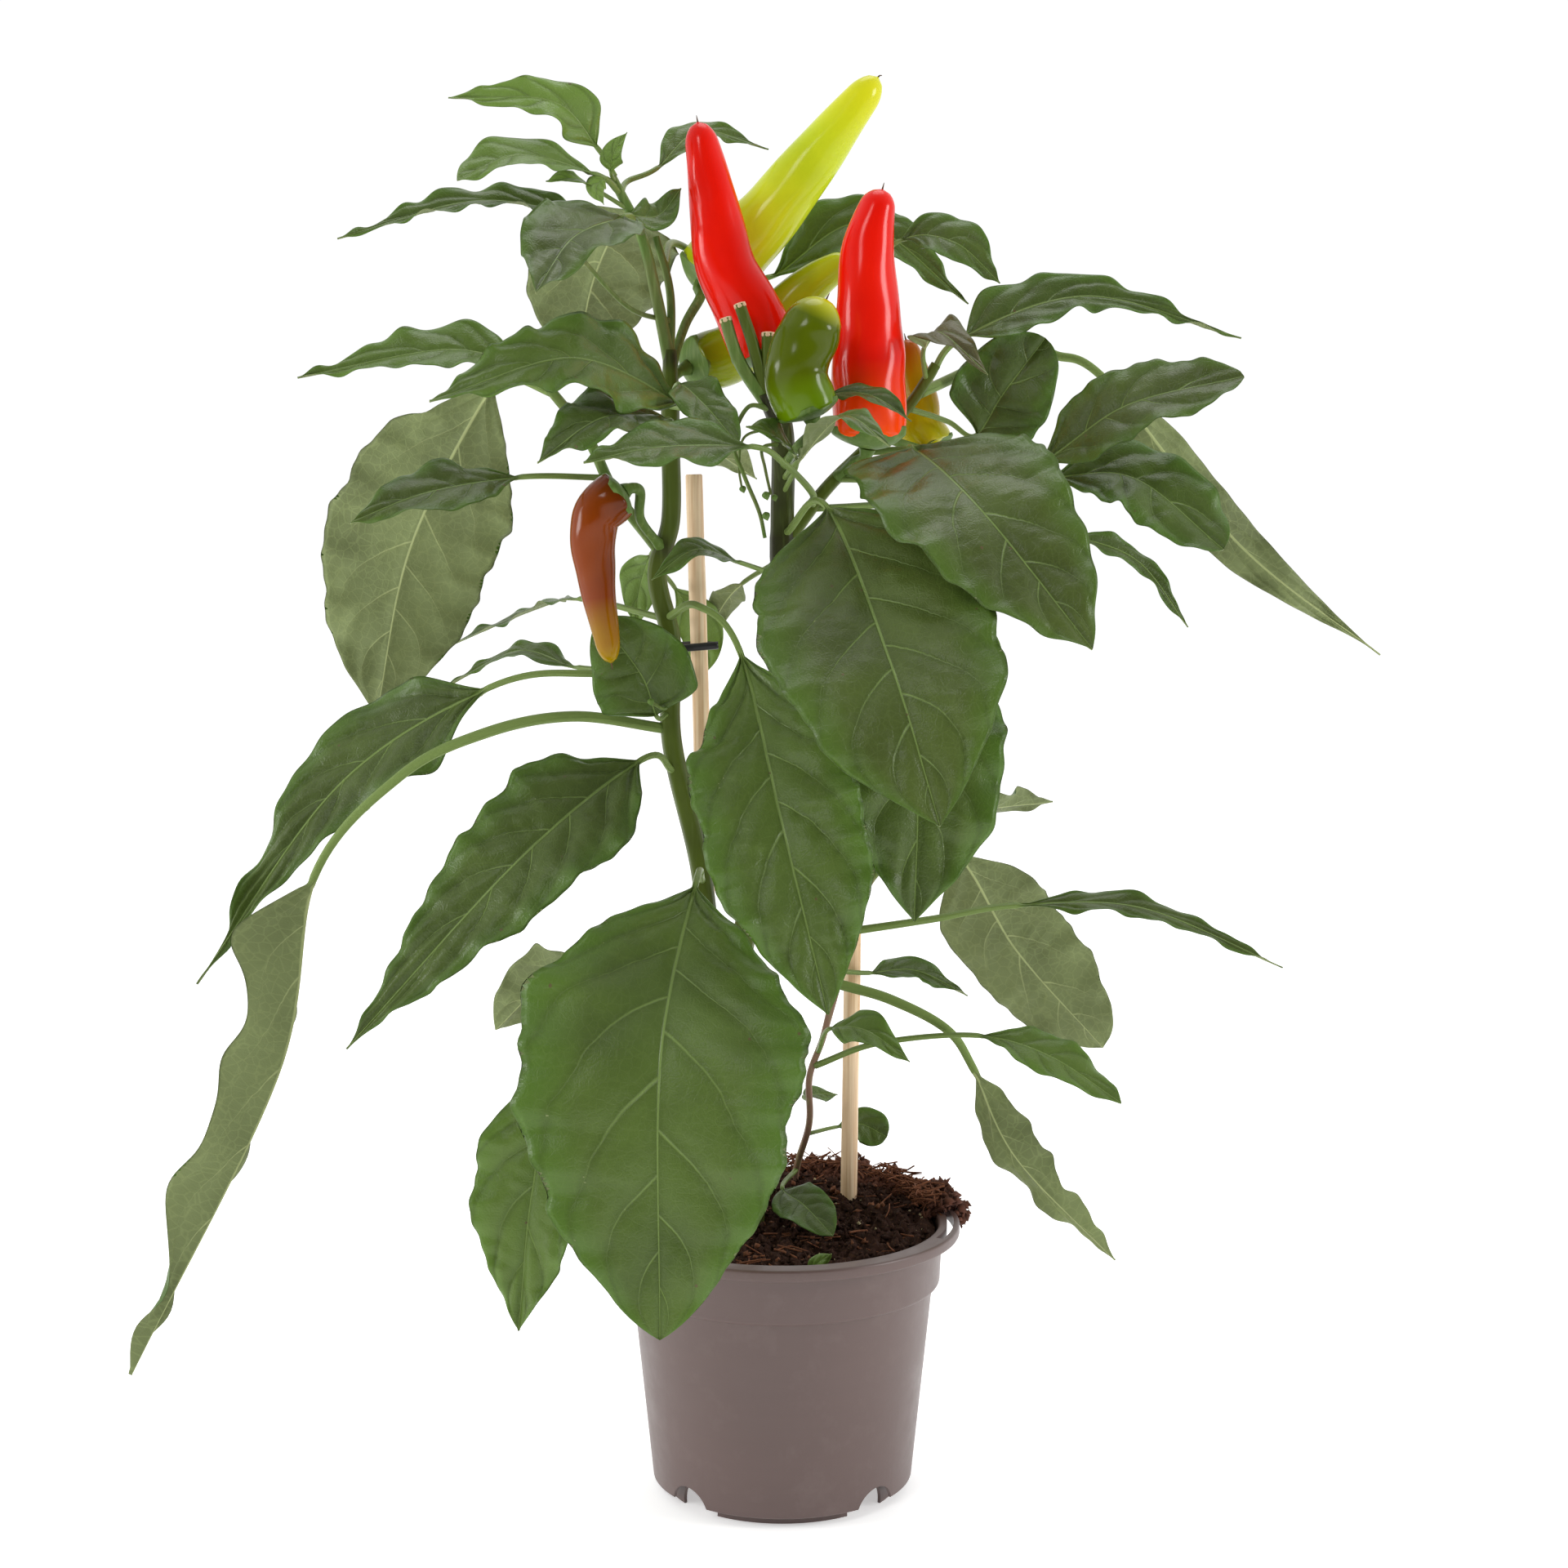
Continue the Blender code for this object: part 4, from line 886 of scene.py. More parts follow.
class PLANT_OT_pot(Operator):
    """Moulds the pot: a turned wall with a band, a rolled rim, a foot, drain notches and a rim slot"""

    bl_idname = "plant.pot"
    bl_label = "Pot"

    def execute(self, context):
        settings = context.scene.plant_pot
        corners = [
            (0, FLOOR_UNDER, 0), (FOOT_RADIUS - WALL, FLOOR_UNDER, 0.4), (FOOT_RADIUS - WALL, 0, 0.3),
            (FOOT_RADIUS, 0, 0.5), (FOOT_RADIUS, FLOOR_UNDER, 0.4),
            (wall_radius(FLOOR_UNDER) - WALL, FLOOR_UNDER, 0.4), (WALL_FOOT_RADIUS - WALL, WALL_FOOT, 0.3),
            (WALL_FOOT_RADIUS, WALL_FOOT, 0.8),
            (WALL_TOP_RADIUS, WALL_TOP, 0.6), (BAND_RADIUS, WALL_TOP + 0.5, 1.6),
            (BAND_RADIUS + 0.8, RIM_UNDER, 0.8),
            (RIM_RADIUS, RIM_UNDER, 0.9), (RIM_RADIUS, RIM_TOP, 1.0), (BAND_RADIUS - 0.4, RIM_TOP, 1.1),
            (BAND_RADIUS - WALL, BAND_FOOT + WALL, 0.8), (WALL_TOP_RADIUS - WALL, WALL_TOP, 0.8),
            (wall_radius(FLOOR) - WALL, FLOOR, 0.8), (0, FLOOR, 0),
        ]
        points, quads, fans = turned_surface(rounded(corners), settings.turns)
        pot = add_piece("grower_pot", points, quads, fans, moulded_plastic(settings.plastic),
                        ["pot"])
        for k in range(NOTCH_COUNT):
            heading = math.radians(NOTCH_FIRST + 360 / NOTCH_COUNT * k)
            out = np.array((math.cos(heading), math.sin(heading), 0))
            path = np.array([out * (WALL_FOOT_RADIUS + r) + (0, 0, NOTCH_CENTRE) for r in NOTCH_REACH])
            rings = tube(path, np.array([NOTCH_RADIUS, NOTCH_RADIUS]), NOTCH_SIDES)
            faces, ends = swept_faces(2, NOTCH_SIDES)
            cut(pot, "notch", np.vstack([rings.reshape(-1, 3), path]), faces, ends.tolist())
        a = np.radians(np.linspace(SLOT_FIRST, SLOT_LAST, SLOT_STEPS))[:, None]
        radius = np.repeat(SLOT_RADII, 2)
        height = np.broadcast_to(np.array(SLOT_HEIGHTS + SLOT_HEIGHTS[::-1]), (SLOT_STEPS, 4))
        block = np.stack([radius * np.cos(a), radius * np.sin(a), height], -1)
        faces, ends = swept_faces(SLOT_STEPS, 4)
        middles = np.stack([block[0].mean(0), block[-1].mean(0)])
        cut(pot, "slot", np.vstack([block.reshape(-1, 3), middles]), faces, ends.tolist())
        pot.data.shade_smooth()
        pot.data.set_sharp_from_angle(angle=math.radians(35))
        return {"FINISHED"}


def lumps(x, y, seed, sizes=((9, 1.0), (4.2, 0.6), (2.1, 0.4))):
    """Uneven ground: a sum of sine waves in many directions, for each (length, share) in sizes."""
    draw = np.random.default_rng(seed)
    total = np.zeros_like(x)
    for length, share in sizes:
        for _ in range(7):
            a = draw.uniform(0, math.pi)
            wave = 2 * math.pi / (length * draw.uniform(0.7, 1.4))
            total += share / 4 * np.sin(wave * (x * math.cos(a) + y * math.sin(a)) + draw.uniform(0, 6.3))
    return total


def soil_height(x, y):
    """Just under the rim in front, heaped up towards the back right, and down again at the wall."""
    share = np.hypot(x, y) / BAND_RADIUS
    slope = np.clip((y + HEAP_LEAN * x - HEAP_STARTS) / HEAP_LENGTH, 0, 1)
    return SOIL_FRONT + SOIL_HEAP * slope * (1 - share**4) + HEAP_LIP * slope * share**4


def scattered(shapes, faces, spots, turns_z, tilts, sizes):
    """Copies of small shapes: each scaled, tilted about X, turned about Z and moved to its spot."""
    c, s = np.cos(tilts)[:, None], np.sin(tilts)[:, None]
    p = shapes * sizes[:, None, :]
    y = p[..., 1] * c - p[..., 2] * s
    z = p[..., 1] * s + p[..., 2] * c
    c, s = np.cos(turns_z)[:, None], np.sin(turns_z)[:, None]
    placed = np.stack([p[..., 0] * c - y * s, p[..., 0] * s + y * c, z], -1) + spots[:, None]
    step = (np.arange(len(spots)) * shapes.shape[1])[:, None, None]
    return placed.reshape(-1, 3), (faces[None] + step).reshape(-1, 3)


CRUMB = np.array([(1, 0, 0), (-1, 0, 0), (0, 1, 0), (0, -1, 0), (0, 0, 1), (0, 0, -1)], float)
CRUMB_FACES = np.array([(0, 2, 4), (2, 1, 4), (1, 3, 4), (3, 0, 4),
                        (2, 0, 5), (1, 2, 5), (3, 1, 5), (0, 3, 5)])


class PLANT_OT_soil(Operator):
    """Fills the pot with peat: an uneven heap, loose crumbs, chips and fibres that spill over the rim"""

    bl_idname = "plant.soil"
    bl_label = "Soil"

    def execute(self, context):
        settings = context.scene.plant_soil
        turns = SOIL_TURNS
        edge = BAND_RADIUS - WALL - 0.4
        a = np.linspace(0, 2 * math.pi, turns, endpoint=False)
        r = np.linspace(edge, 0.6, SOIL_RINGS)[:, None]
        x, y = r * np.cos(a), r * np.sin(a)
        calm = smooth(edge, edge - 4, np.hypot(x, y))
        z = soil_height(x, y) + settings.roughness / MM * lumps(x, y, LUMP_SEED) * (0.35 + 0.65 * calm)
        foot = np.stack([edge * np.cos(a), edge * np.sin(a), np.full(turns, SOIL_FOOT)], -1)[None]
        rings = np.concatenate([foot, np.stack([x, y, z], -1)])
        ends = np.array([(0, 0, SOIL_FOOT), (0, 0, soil_height(0.0, 0.0))])
        quads, fans = swept_faces(len(rings), turns)
        peat = moist_peat(settings.peat)
        add_piece("peat_heap", np.vstack([rings.reshape(-1, 3), ends]), quads, fans, peat, ["soil"])
        self.crumbs(settings, peat, edge)
        self.ragged_edge()
        self.fibres()
        return {"FINISHED"}

    def crumbs(self, settings, peat, edge):
        """Eight-sided lumps: an octahedron with each point pushed in or out."""
        draw = np.random.default_rng(CRUMB_SEED)
        count = settings.crumbs
        radius = (edge - 1.5) * np.sqrt(draw.uniform(0, 1, count))
        angle = draw.uniform(0, 2 * math.pi, count)
        x, y = radius * np.cos(angle), radius * np.sin(angle)
        level = soil_height(x, y) + settings.roughness / MM * lumps(x, y, LUMP_SEED)
        shapes = CRUMB * draw.uniform(0.6, 1.4, (count, 6, 1))
        sizes = draw.uniform(0.5, 1.5, (count, 1)) * draw.uniform(0.6, 1.5, (count, 3))
        chip = draw.uniform(size=count) < 0.12
        sizes[chip] *= (2.2, 0.7, 0.5)
        spots = np.stack([x, y, level + 0.3], -1)
        turn, tilt = draw.uniform(0, 6.3, count), draw.uniform(-0.8, 0.8, count)
        kinds = draw.uniform(size=count)
        bark = plain_matter("bark_chip", "#4a2a18", "#8a5330", 500, 0.85)
        grit = plain_matter("pale_grit", "#8c7a58", "#cbbd98", 900, 0.8)
        for name, finish, chosen in (("peat_crumbs", peat, kinds < 0.84),
                                     ("bark_chips", bark, (kinds >= 0.84) & (kinds < 0.94)),
                                     ("pale_grit", grit, kinds >= 0.94)):
            shrink = 0.45 if name == "pale_grit" else 1.0
            points, tris = scattered(shapes[chosen], CRUMB_FACES, spots[chosen], turn[chosen], tilt[chosen],
                                     sizes[chosen] * shrink)
            add_piece(name, points, np.zeros((0, 4), int), tris, finish, smooth_shaded=False)

    def ragged_edge(self):
        """Clods piled along the back and right of the rim: crumbs round a ridge that rises and falls."""
        draw = np.random.default_rng(EDGE_SEED)
        count = EDGE_CRUMBS
        angle = draw.uniform(0.12, 2.5, count)
        ridge = (8 + 2.2 * np.sin(7 * angle) + 1.6 * np.sin(19 * angle)) * smooth(0.0, 0.25, angle)
        ridge = ridge * smooth(2.6, 2.0, angle)
        inward = draw.uniform(0, 1, count)
        overhang = 10.5 * smooth(0.75, 0.4, angle) * smooth(0.08, 0.2, angle)
        radius = 60.0 + overhang - 13 * inward
        rise = ridge * (1 - inward**2) * np.sqrt(draw.uniform(0, 1, count))
        x, y = radius * np.cos(angle), radius * np.sin(angle)
        ground = np.maximum(soil_height(x, y), np.where(radius > BAND_RADIUS - 3, RIM_TOP - 0.5, 0))
        shapes = CRUMB * draw.uniform(0.4, 1.8, (count, 6, 1))
        sizes = draw.uniform(0.6, 1.7, (count, 1)) * draw.uniform(0.4, 1.7, (count, 3))
        drop = 7 * np.clip((radius - 65.5) / 3, 0, 1)
        spots = np.stack([x, y, ground + rise - drop], -1)
        points, tris = scattered(shapes, CRUMB_FACES, spots, draw.uniform(0, 6.3, count),
                                 draw.uniform(-0.9, 0.9, count), sizes)
        dry = plain_matter("dry_peat_edge", "#1a0d09", "#7a4834", 420, 0.95, bump=0.6)
        add_piece("peat_edge", points, np.zeros((0, 4), int), tris, dry, smooth_shaded=False)

    def fibres(self):
        """Thin bent threads lying on the heap and over the rim at the right."""
        draw = np.random.default_rng(FIBRE_SEED)
        all_points, all_quads, all_fans, offset = [], [], [], 0
        for k in range(FIBRES):
            over_rim = k < FIBRES_OVER_RIM
            angle = draw.uniform(0.12, 2.3) if over_rim else draw.uniform(0, 6.3)
            radius = draw.uniform(50, 60) if over_rim else draw.uniform(8, 52)
            x, y = radius * math.cos(angle), radius * math.sin(angle)
            level = max(float(soil_height(np.array(x), np.array(y))), RIM_TOP if radius > 56 else 0) + 0.6
            level += draw.uniform(0, 9) if over_rim else 0
            turn = draw.uniform(0, 6.3)
            length = draw.uniform(3, 9) if over_rim else draw.uniform(4, 12)
            s = np.linspace(-0.5, 0.5, FIBRE_ROWS)
            bend, rise = draw.uniform(-3, 3), draw.uniform(-2, 5)
            path = np.stack([x + length * s * math.cos(turn) - bend * s**2 * math.sin(turn),
                             y + length * s * math.sin(turn) + bend * s**2 * math.cos(turn),
                             level + rise * (s + 0.5) * draw.uniform(0.2, 1.0)], -1)
            rings = tube(path, np.full(FIBRE_ROWS, draw.uniform(0.15, 0.4)), FIBRE_SIDES)
            quads, fans = swept_faces(FIBRE_ROWS, FIBRE_SIDES)
            all_points.append(np.vstack([rings.reshape(-1, 3), path[:1], path[-1:]]))
            all_quads.append(quads + offset)
            all_fans.append(fans + offset)
            offset += FIBRE_ROWS * FIBRE_SIDES + 2
        finish = plain_matter("root_fibre", "#4a2614", "#935a38", 700, 0.9)
        add_piece("soil_fibres", np.vstack(all_points), np.vstack(all_quads), np.vstack(all_fans), finish)


# ---------------------------------------------------------------- canes, tie and stems


def arc(centre, radius, first, last, steps):
    """Points on a level arc, from the first angle to the last in degrees."""
    a = np.radians(np.linspace(first, last, steps))
    return np.stack([centre[0] + radius * np.cos(a), centre[1] + radius * np.sin(a),
                     np.full(steps, centre[2])], -1)


class PLANT_OT_canes(Operator):
    """Sets the two canes and winds the tie round the left one and the stem"""

    bl_idname = "plant.canes"
    bl_label = "Canes and tie"

    def execute(self, context):
        bamboo = split_bamboo()
        for name, (foot, top) in CANES.items():
            share = np.concatenate([np.linspace(0, 0.9985, 60), [1.0]])
            centres = np.array(foot, float) + share[:, None] * (np.array(top, float) - foot)
            radii = CANE_RADIUS * (1 + 0.012 * np.sin(31 * share) + 0.008 * np.sin(73 * share))
            radii[-1] = CANE_RADIUS - 0.4
            piece = add_tube("bamboo_" + name, centres, radii, 32, bamboo, "bamboo", [name])
            piece.data.set_sharp_from_angle(angle=math.radians(40))
        stem, radius, _ = stem_at("trunk", TIE_HEIGHT)
        stem[2] = TIE_HEIGHT
        foot, top = (np.array(p, float) for p in CANES["cane_left"])
        cane = foot + (top - foot) * (TIE_HEIGHT - foot[2]) / (top[2] - foot[2])
        heading = math.degrees(math.atan2(cane[1] - stem[1], cane[0] - stem[0]))
        clear = TIE_RADIUS + 0.5
        points = np.vstack([[TIE_END], arc(stem, radius + clear, heading - 90, heading - 270, 7),
                            arc(cane, CANE_RADIUS + clear, heading + 90, heading - 50, 6)])
        path = along_curve(points, np.linspace(0, len(points) - 1, 160))
        black = plain_matter("black_tie_plastic", "#0c0c0d", "#1c1c1e", 300, 0.38, bump=0.08)
        add_tube("tie_loop", path, np.full(160, TIE_RADIUS), 20, black, "tie_plastic", ["cane_tie"])
        return {"FINISHED"}


def ageing(name, line):
    """How dark and woody a stem is at each height: most at the pot and at its joints."""
    z = line[:, 2]
    joints = {"trunk": (172, 345, 412), "fork": (345, 396), "side_shoot": (130, 185, 221)}.get(name, ())
    foot = {"trunk": smooth(330, 120, z) * 0.35, "fork": 0.25 + 0.45 * smooth(240, 330, z),
            "side_shoot": 1.6 * smooth(196, 170, z)}.get(name, 0.05)
    for height in joints:
        foot = foot + 0.7 * np.exp(-((z - height) / 4) ** 2)
    return np.clip(foot + np.zeros_like(z), 0, 1)


class PLANT_OT_stems(Operator):
    """Grows the trunk, its fork, branches and stubs, and the side shoot"""

    bl_idname = "plant.stems"
    bl_label = "Stems"

    def execute(self, context):
        settings = context.scene.plant_stems
        old = stem_skin("green_stem_skin", settings.green, settings.old, "#5c6d36")
        young = stem_skin("young_stem_skin", settings.young, settings.brown, "#8a9c5c")
        wood = plain_matter("cut_stem_wood", "#b08a60", "#efd3b0", 900, 0.8)
        for name, (route, foot, end) in STEMS.items():
            rows = 24 * len(route)
            ts = np.linspace(0, len(route) - 1, rows)
            line = along_curve(route, ts)
            radii = foot + (end - foot) * ts / ts[-1]
            age = ageing(name, line)
            knots = np.clip(age - 0.5, 0, 0.5) if name in ("trunk", "fork", "side_shoot") else 0
            radii = radii * (1 + 0.25 * knots)
            if name == "trunk":
                radii = radii * (1 - 0.25 * smooth(398, 414, line[:, 2]))
            if name == "side_shoot":
                radii = radii * (0.65 + 0.35 * smooth(165, 190, line[:, 2]))
            node_name = "side_shoot" if name == "side_shoot" else "main_stem"
            skin = young if name in YOUNG_STEMS else old
            slot = "shoot" if name == "side_shoot" else "stem"
            piece = add_tube("stem_" + name, line, radii, 32, skin, slot, [node_name], {"age": age},
                             ribs=settings.ribs, rib_depth=0.05)
            piece.data.set_sharp_from_angle(angle=math.radians(50))
            if name.startswith("stub"):
                along = headings(line)[-1]
                centres = line[-1] + along * np.array([-1.3, -0.9, 0.25, 0.45])[:, None]
                radii = end * np.array([0.98, 1.08, 1.02, 0.6])
                add_tube(name + "_cut", centres, radii, 24, wood, "stem", ribs=7, rib_depth=0.08)
        for number, (stem, height, points, radius) in enumerate(TWIGS):
            route = np.array([joint_point(stem, height, points[0]), *points], float)
            line = along_curve(route, np.linspace(0, len(route) - 1, 14 * len(route)))
            radii = radius * np.interp(np.linspace(0, 1, len(line)), (0, 0.12, 1), (1.5, 1.0, 0.8))
            add_tube(f"twig_{number + 1}", line, radii, 14, young, "stem", values={"age": 0.1}, ribs=4,
                     rib_depth=0.05)
        for number, (place, size) in enumerate(BUDS):
            s = np.linspace(0, 1, 24)
            line = np.array(place, float) + np.array((0.3, -0.3, -1.0)) * size * 2.2 * s[:, None]
            radii = np.maximum(size * np.sin(math.pi * s**0.8), 0.05)
            add_tube(f"bud_{number + 1}", line, radii, 20, young, "stem", values={"age": -0.2}, ribs=5,
                     rib_depth=0.08)
        return {"FINISHED"}


# ---------------------------------------------------------------- leaves and pods


def blade_width(s, heel, widest, tip):
    """The share of its full width that a blade has at s, from its heel at 0 to its tip at 1.

    An s-shaped rise over the heel, times (1 - u squared) to the power tip, where u runs from 0 at the
    widest place to 1 at the end.
    """
    u = np.clip((s - widest) / (1 - widest), 0, 1)
    return smooth(0, heel, s) ** 0.8 * (1 - u * u) ** tip


def ripples(draw, x, sizes):
    """A wandering line: a sum of sine waves of (length, height), each slightly mistuned."""
    total = np.zeros_like(x)
    for length, height in sizes:
        mistuned = length * draw.uniform(0.8, 1.25)
        total += height * np.sin(2 * math.pi * x / mistuned + draw.uniform(0, 6.3))
    return total


def grow_leaf(name, plan, finish, settings, seed):
    """One leaf: a closed ring of points, top then underside, carried along its stalk and midrib.

    A point lies half a width out times its share across, plus its height above the midrib: the folded
    edges, ripples that grow to the margin, a puff between each pair of side veins, and a groove along the
    midrib.
    """
    stem, height, stalk, blade, width, looks, rise = plan
    heel_share, widest, narrowing, waviness, stretch = OUTLINES.get(name, OUTLINE)
    draw = np.random.default_rng(seed)
    route = np.array([joint_point(stem, height, (stalk + blade)[0]), *stalk, *blade], float)
    heel = len(stalk) + 1
    size = np.linalg.norm(route[-1] - route[heel])
    rows, half_sides = BLADE_GRID if size > SMALL_BLADE else SMALL_BLADE_GRID
    ts = np.concatenate([np.linspace(0, heel, 14 * heel)[:-1], heel + 2 * np.linspace(0, 1, rows) ** 1.05])
    centres = along_curve(route, ts)
    s = (ts - heel) / 2
    along = headings(centres)
    around, above = np.radians(looks)
    level_way = math.cos(above)
    top = np.array((math.cos(around) * level_way, math.sin(around) * level_way, math.sin(above)))
    normal = unit(top - along * (along @ top)[:, None])
    side = np.cross(along, normal)
    run = np.concatenate([[0], np.cumsum(np.linalg.norm(np.diff(centres, axis=0), axis=1))])
    stalk_radius = np.interp(s, (-1, 0, 0.15, 1), (1.5, 1.15, 0.75, 0.25)) * (0.5 + 0.5 * min(1, size / 90))
    stalk_radius = stalk_radius * (1.3 if name in STOUT_STALKS else 1)
    flat = smooth(0.0, 0.05, s)[:, None]
    steps = 2 * half_sides + 1
    across = np.concatenate([np.linspace(-1, 1, steps), np.linspace(1, -1, steps)[1:-1]])
    below = np.where(np.arange(4 * half_sides) > 2 * half_sides, 1.0, 0.0)
    below[[0, 2 * half_sides]] = 0.5
    right = across > 0
    a = np.abs(across)[None]
    reach = min(1.0, width / 42)
    on_blade = smooth(0.04, 0.25, s) * smooth(1.02, 0.88, s)
    scallops = ((19, 0.018), (9, 0.008), (43, 0.035))
    waves = ((19, 1.0), (31, 0.8), (9, 0.3 / stretch))
    scallop = [1 + on_blade * ripples(draw, run / stretch, scallops) for _ in range(2)]
    edge = [on_blade * ripples(draw, run / stretch, waves) for _ in range(2)]
    half = np.maximum(width / 2 * blade_width(s, heel_share, widest, narrowing), stalk_radius)[:, None]
    half = half * np.where(right, scallop[0][:, None], scallop[1][:, None])
    off = across * half
    level = np.where(below > 0.5, -1.0, 1.0) * np.sqrt(np.clip(1 - across**2, 0, 1))
    thick = settings.thickness / MM * flat + stalk_radius[:, None] * (1 - flat)
    pairs = np.clip(size / 19, 4, 6.5)
    warp = 0.18 * np.sin(2 * math.pi * s * draw.uniform(1.2, 2.0) + draw.uniform(0, 6.3))
    phase = (pairs * s + warp)[:, None] - pairs * (0.20 * a + 0.12 * a**3)
    shift = phase + np.where(right, 0.5, 0.0)
    puff = np.abs(np.sin(math.pi * shift)) ** 0.75 - 0.6
    crumple = ripples(draw, off + 0.7 * run[:, None], ((8, 0.2), (13, 0.2)))
    crumple = crumple * ripples(draw, run[:, None] - 0.5 * off, ((9, 0.7), (15, 0.7)))
    bump = reach * smooth(1.0, 0.8, s)[:, None] * np.clip(a * 4, 0, 1) * (1 - a**4)
    bump = bump * (settings.quilt / MM * puff + crumple)
    margin_wave = np.where(right, edge[0][:, None], edge[1][:, None])
    wave = waviness * settings.wave / MM * (0.4 + 0.6 * reach) * a**2.2 * margin_wave
    groove = -0.8 * reach * np.exp(-(off / 1.1) ** 2) * np.where(below == 1, 1.7, 1.0)
    up = thick * level + flat * (rise * half * a + bump + wave + groove)
    points = centres[:, None] + side[:, None] * off[..., None] + normal[:, None] * up[..., None]
    count, sides = points.shape[:2]
    quads, fans = swept_faces(count, sides)

    def spread(value):
        whole = np.broadcast_to(value, (count, sides)).reshape(-1)
        return np.concatenate([whole, [whole[0], whole[-1]]])

    values = {
        "across": spread(across[None]), "off": spread(off), "run": spread(run[:, None] + PATTERN_STEP * seed),
        "phase": spread(phase), "below": spread(below[None]), "blade": spread(flat),
        "rib": spread((0.16 + 0.55 * min(1.2, size / 110) * np.clip(1 - s, 0, 1) ** 0.7)[:, None]),
        "tone": TONES.get(name, 0.05) + draw.uniform(-0.08, 0.08),
    }
    ends = np.vstack([centres[:1], centres[-1:]])
    nodes = [name] if name in LEAVES else []
    whole = np.vstack([points.reshape(-1, 3), ends])
    add_piece(name + "_blade", whole, quads, fans, finish, nodes, values)


class PLANT_OT_leaves(Operator):
    """Grows every leaf on its stem"""

    bl_idname = "plant.leaves"
    bl_label = "Leaves"

    def execute(self, context):
        settings = context.scene.plant_leaves
        finish = leaf_skin(settings.top, settings.under)
        for seed, (name, plan) in enumerate({**LEAVES, **SMALL_LEAVES}.items()):
            grow_leaf(name, plan, finish, settings, seed + 1)
        return {"FINISHED"}


def pod_radius(s, slimming, blunt):
    """The share of its full radius that a pod has at s, from its shoulder at 0 to its blunt tip at 1."""
    shoulder = np.sqrt(np.clip(s * 16, 0, 1)) * (1 - 0.14 * (1 - np.clip(s * 5, 0, 1)) ** 2)
    taper = 1 - slimming * np.clip(s, 0, 1) ** 2.2
    tip = np.sqrt(np.clip(1 - np.clip((s - 1 + blunt) / blunt, 0, 1) ** 2, 0, 1))
    return shoulder * taper * tip


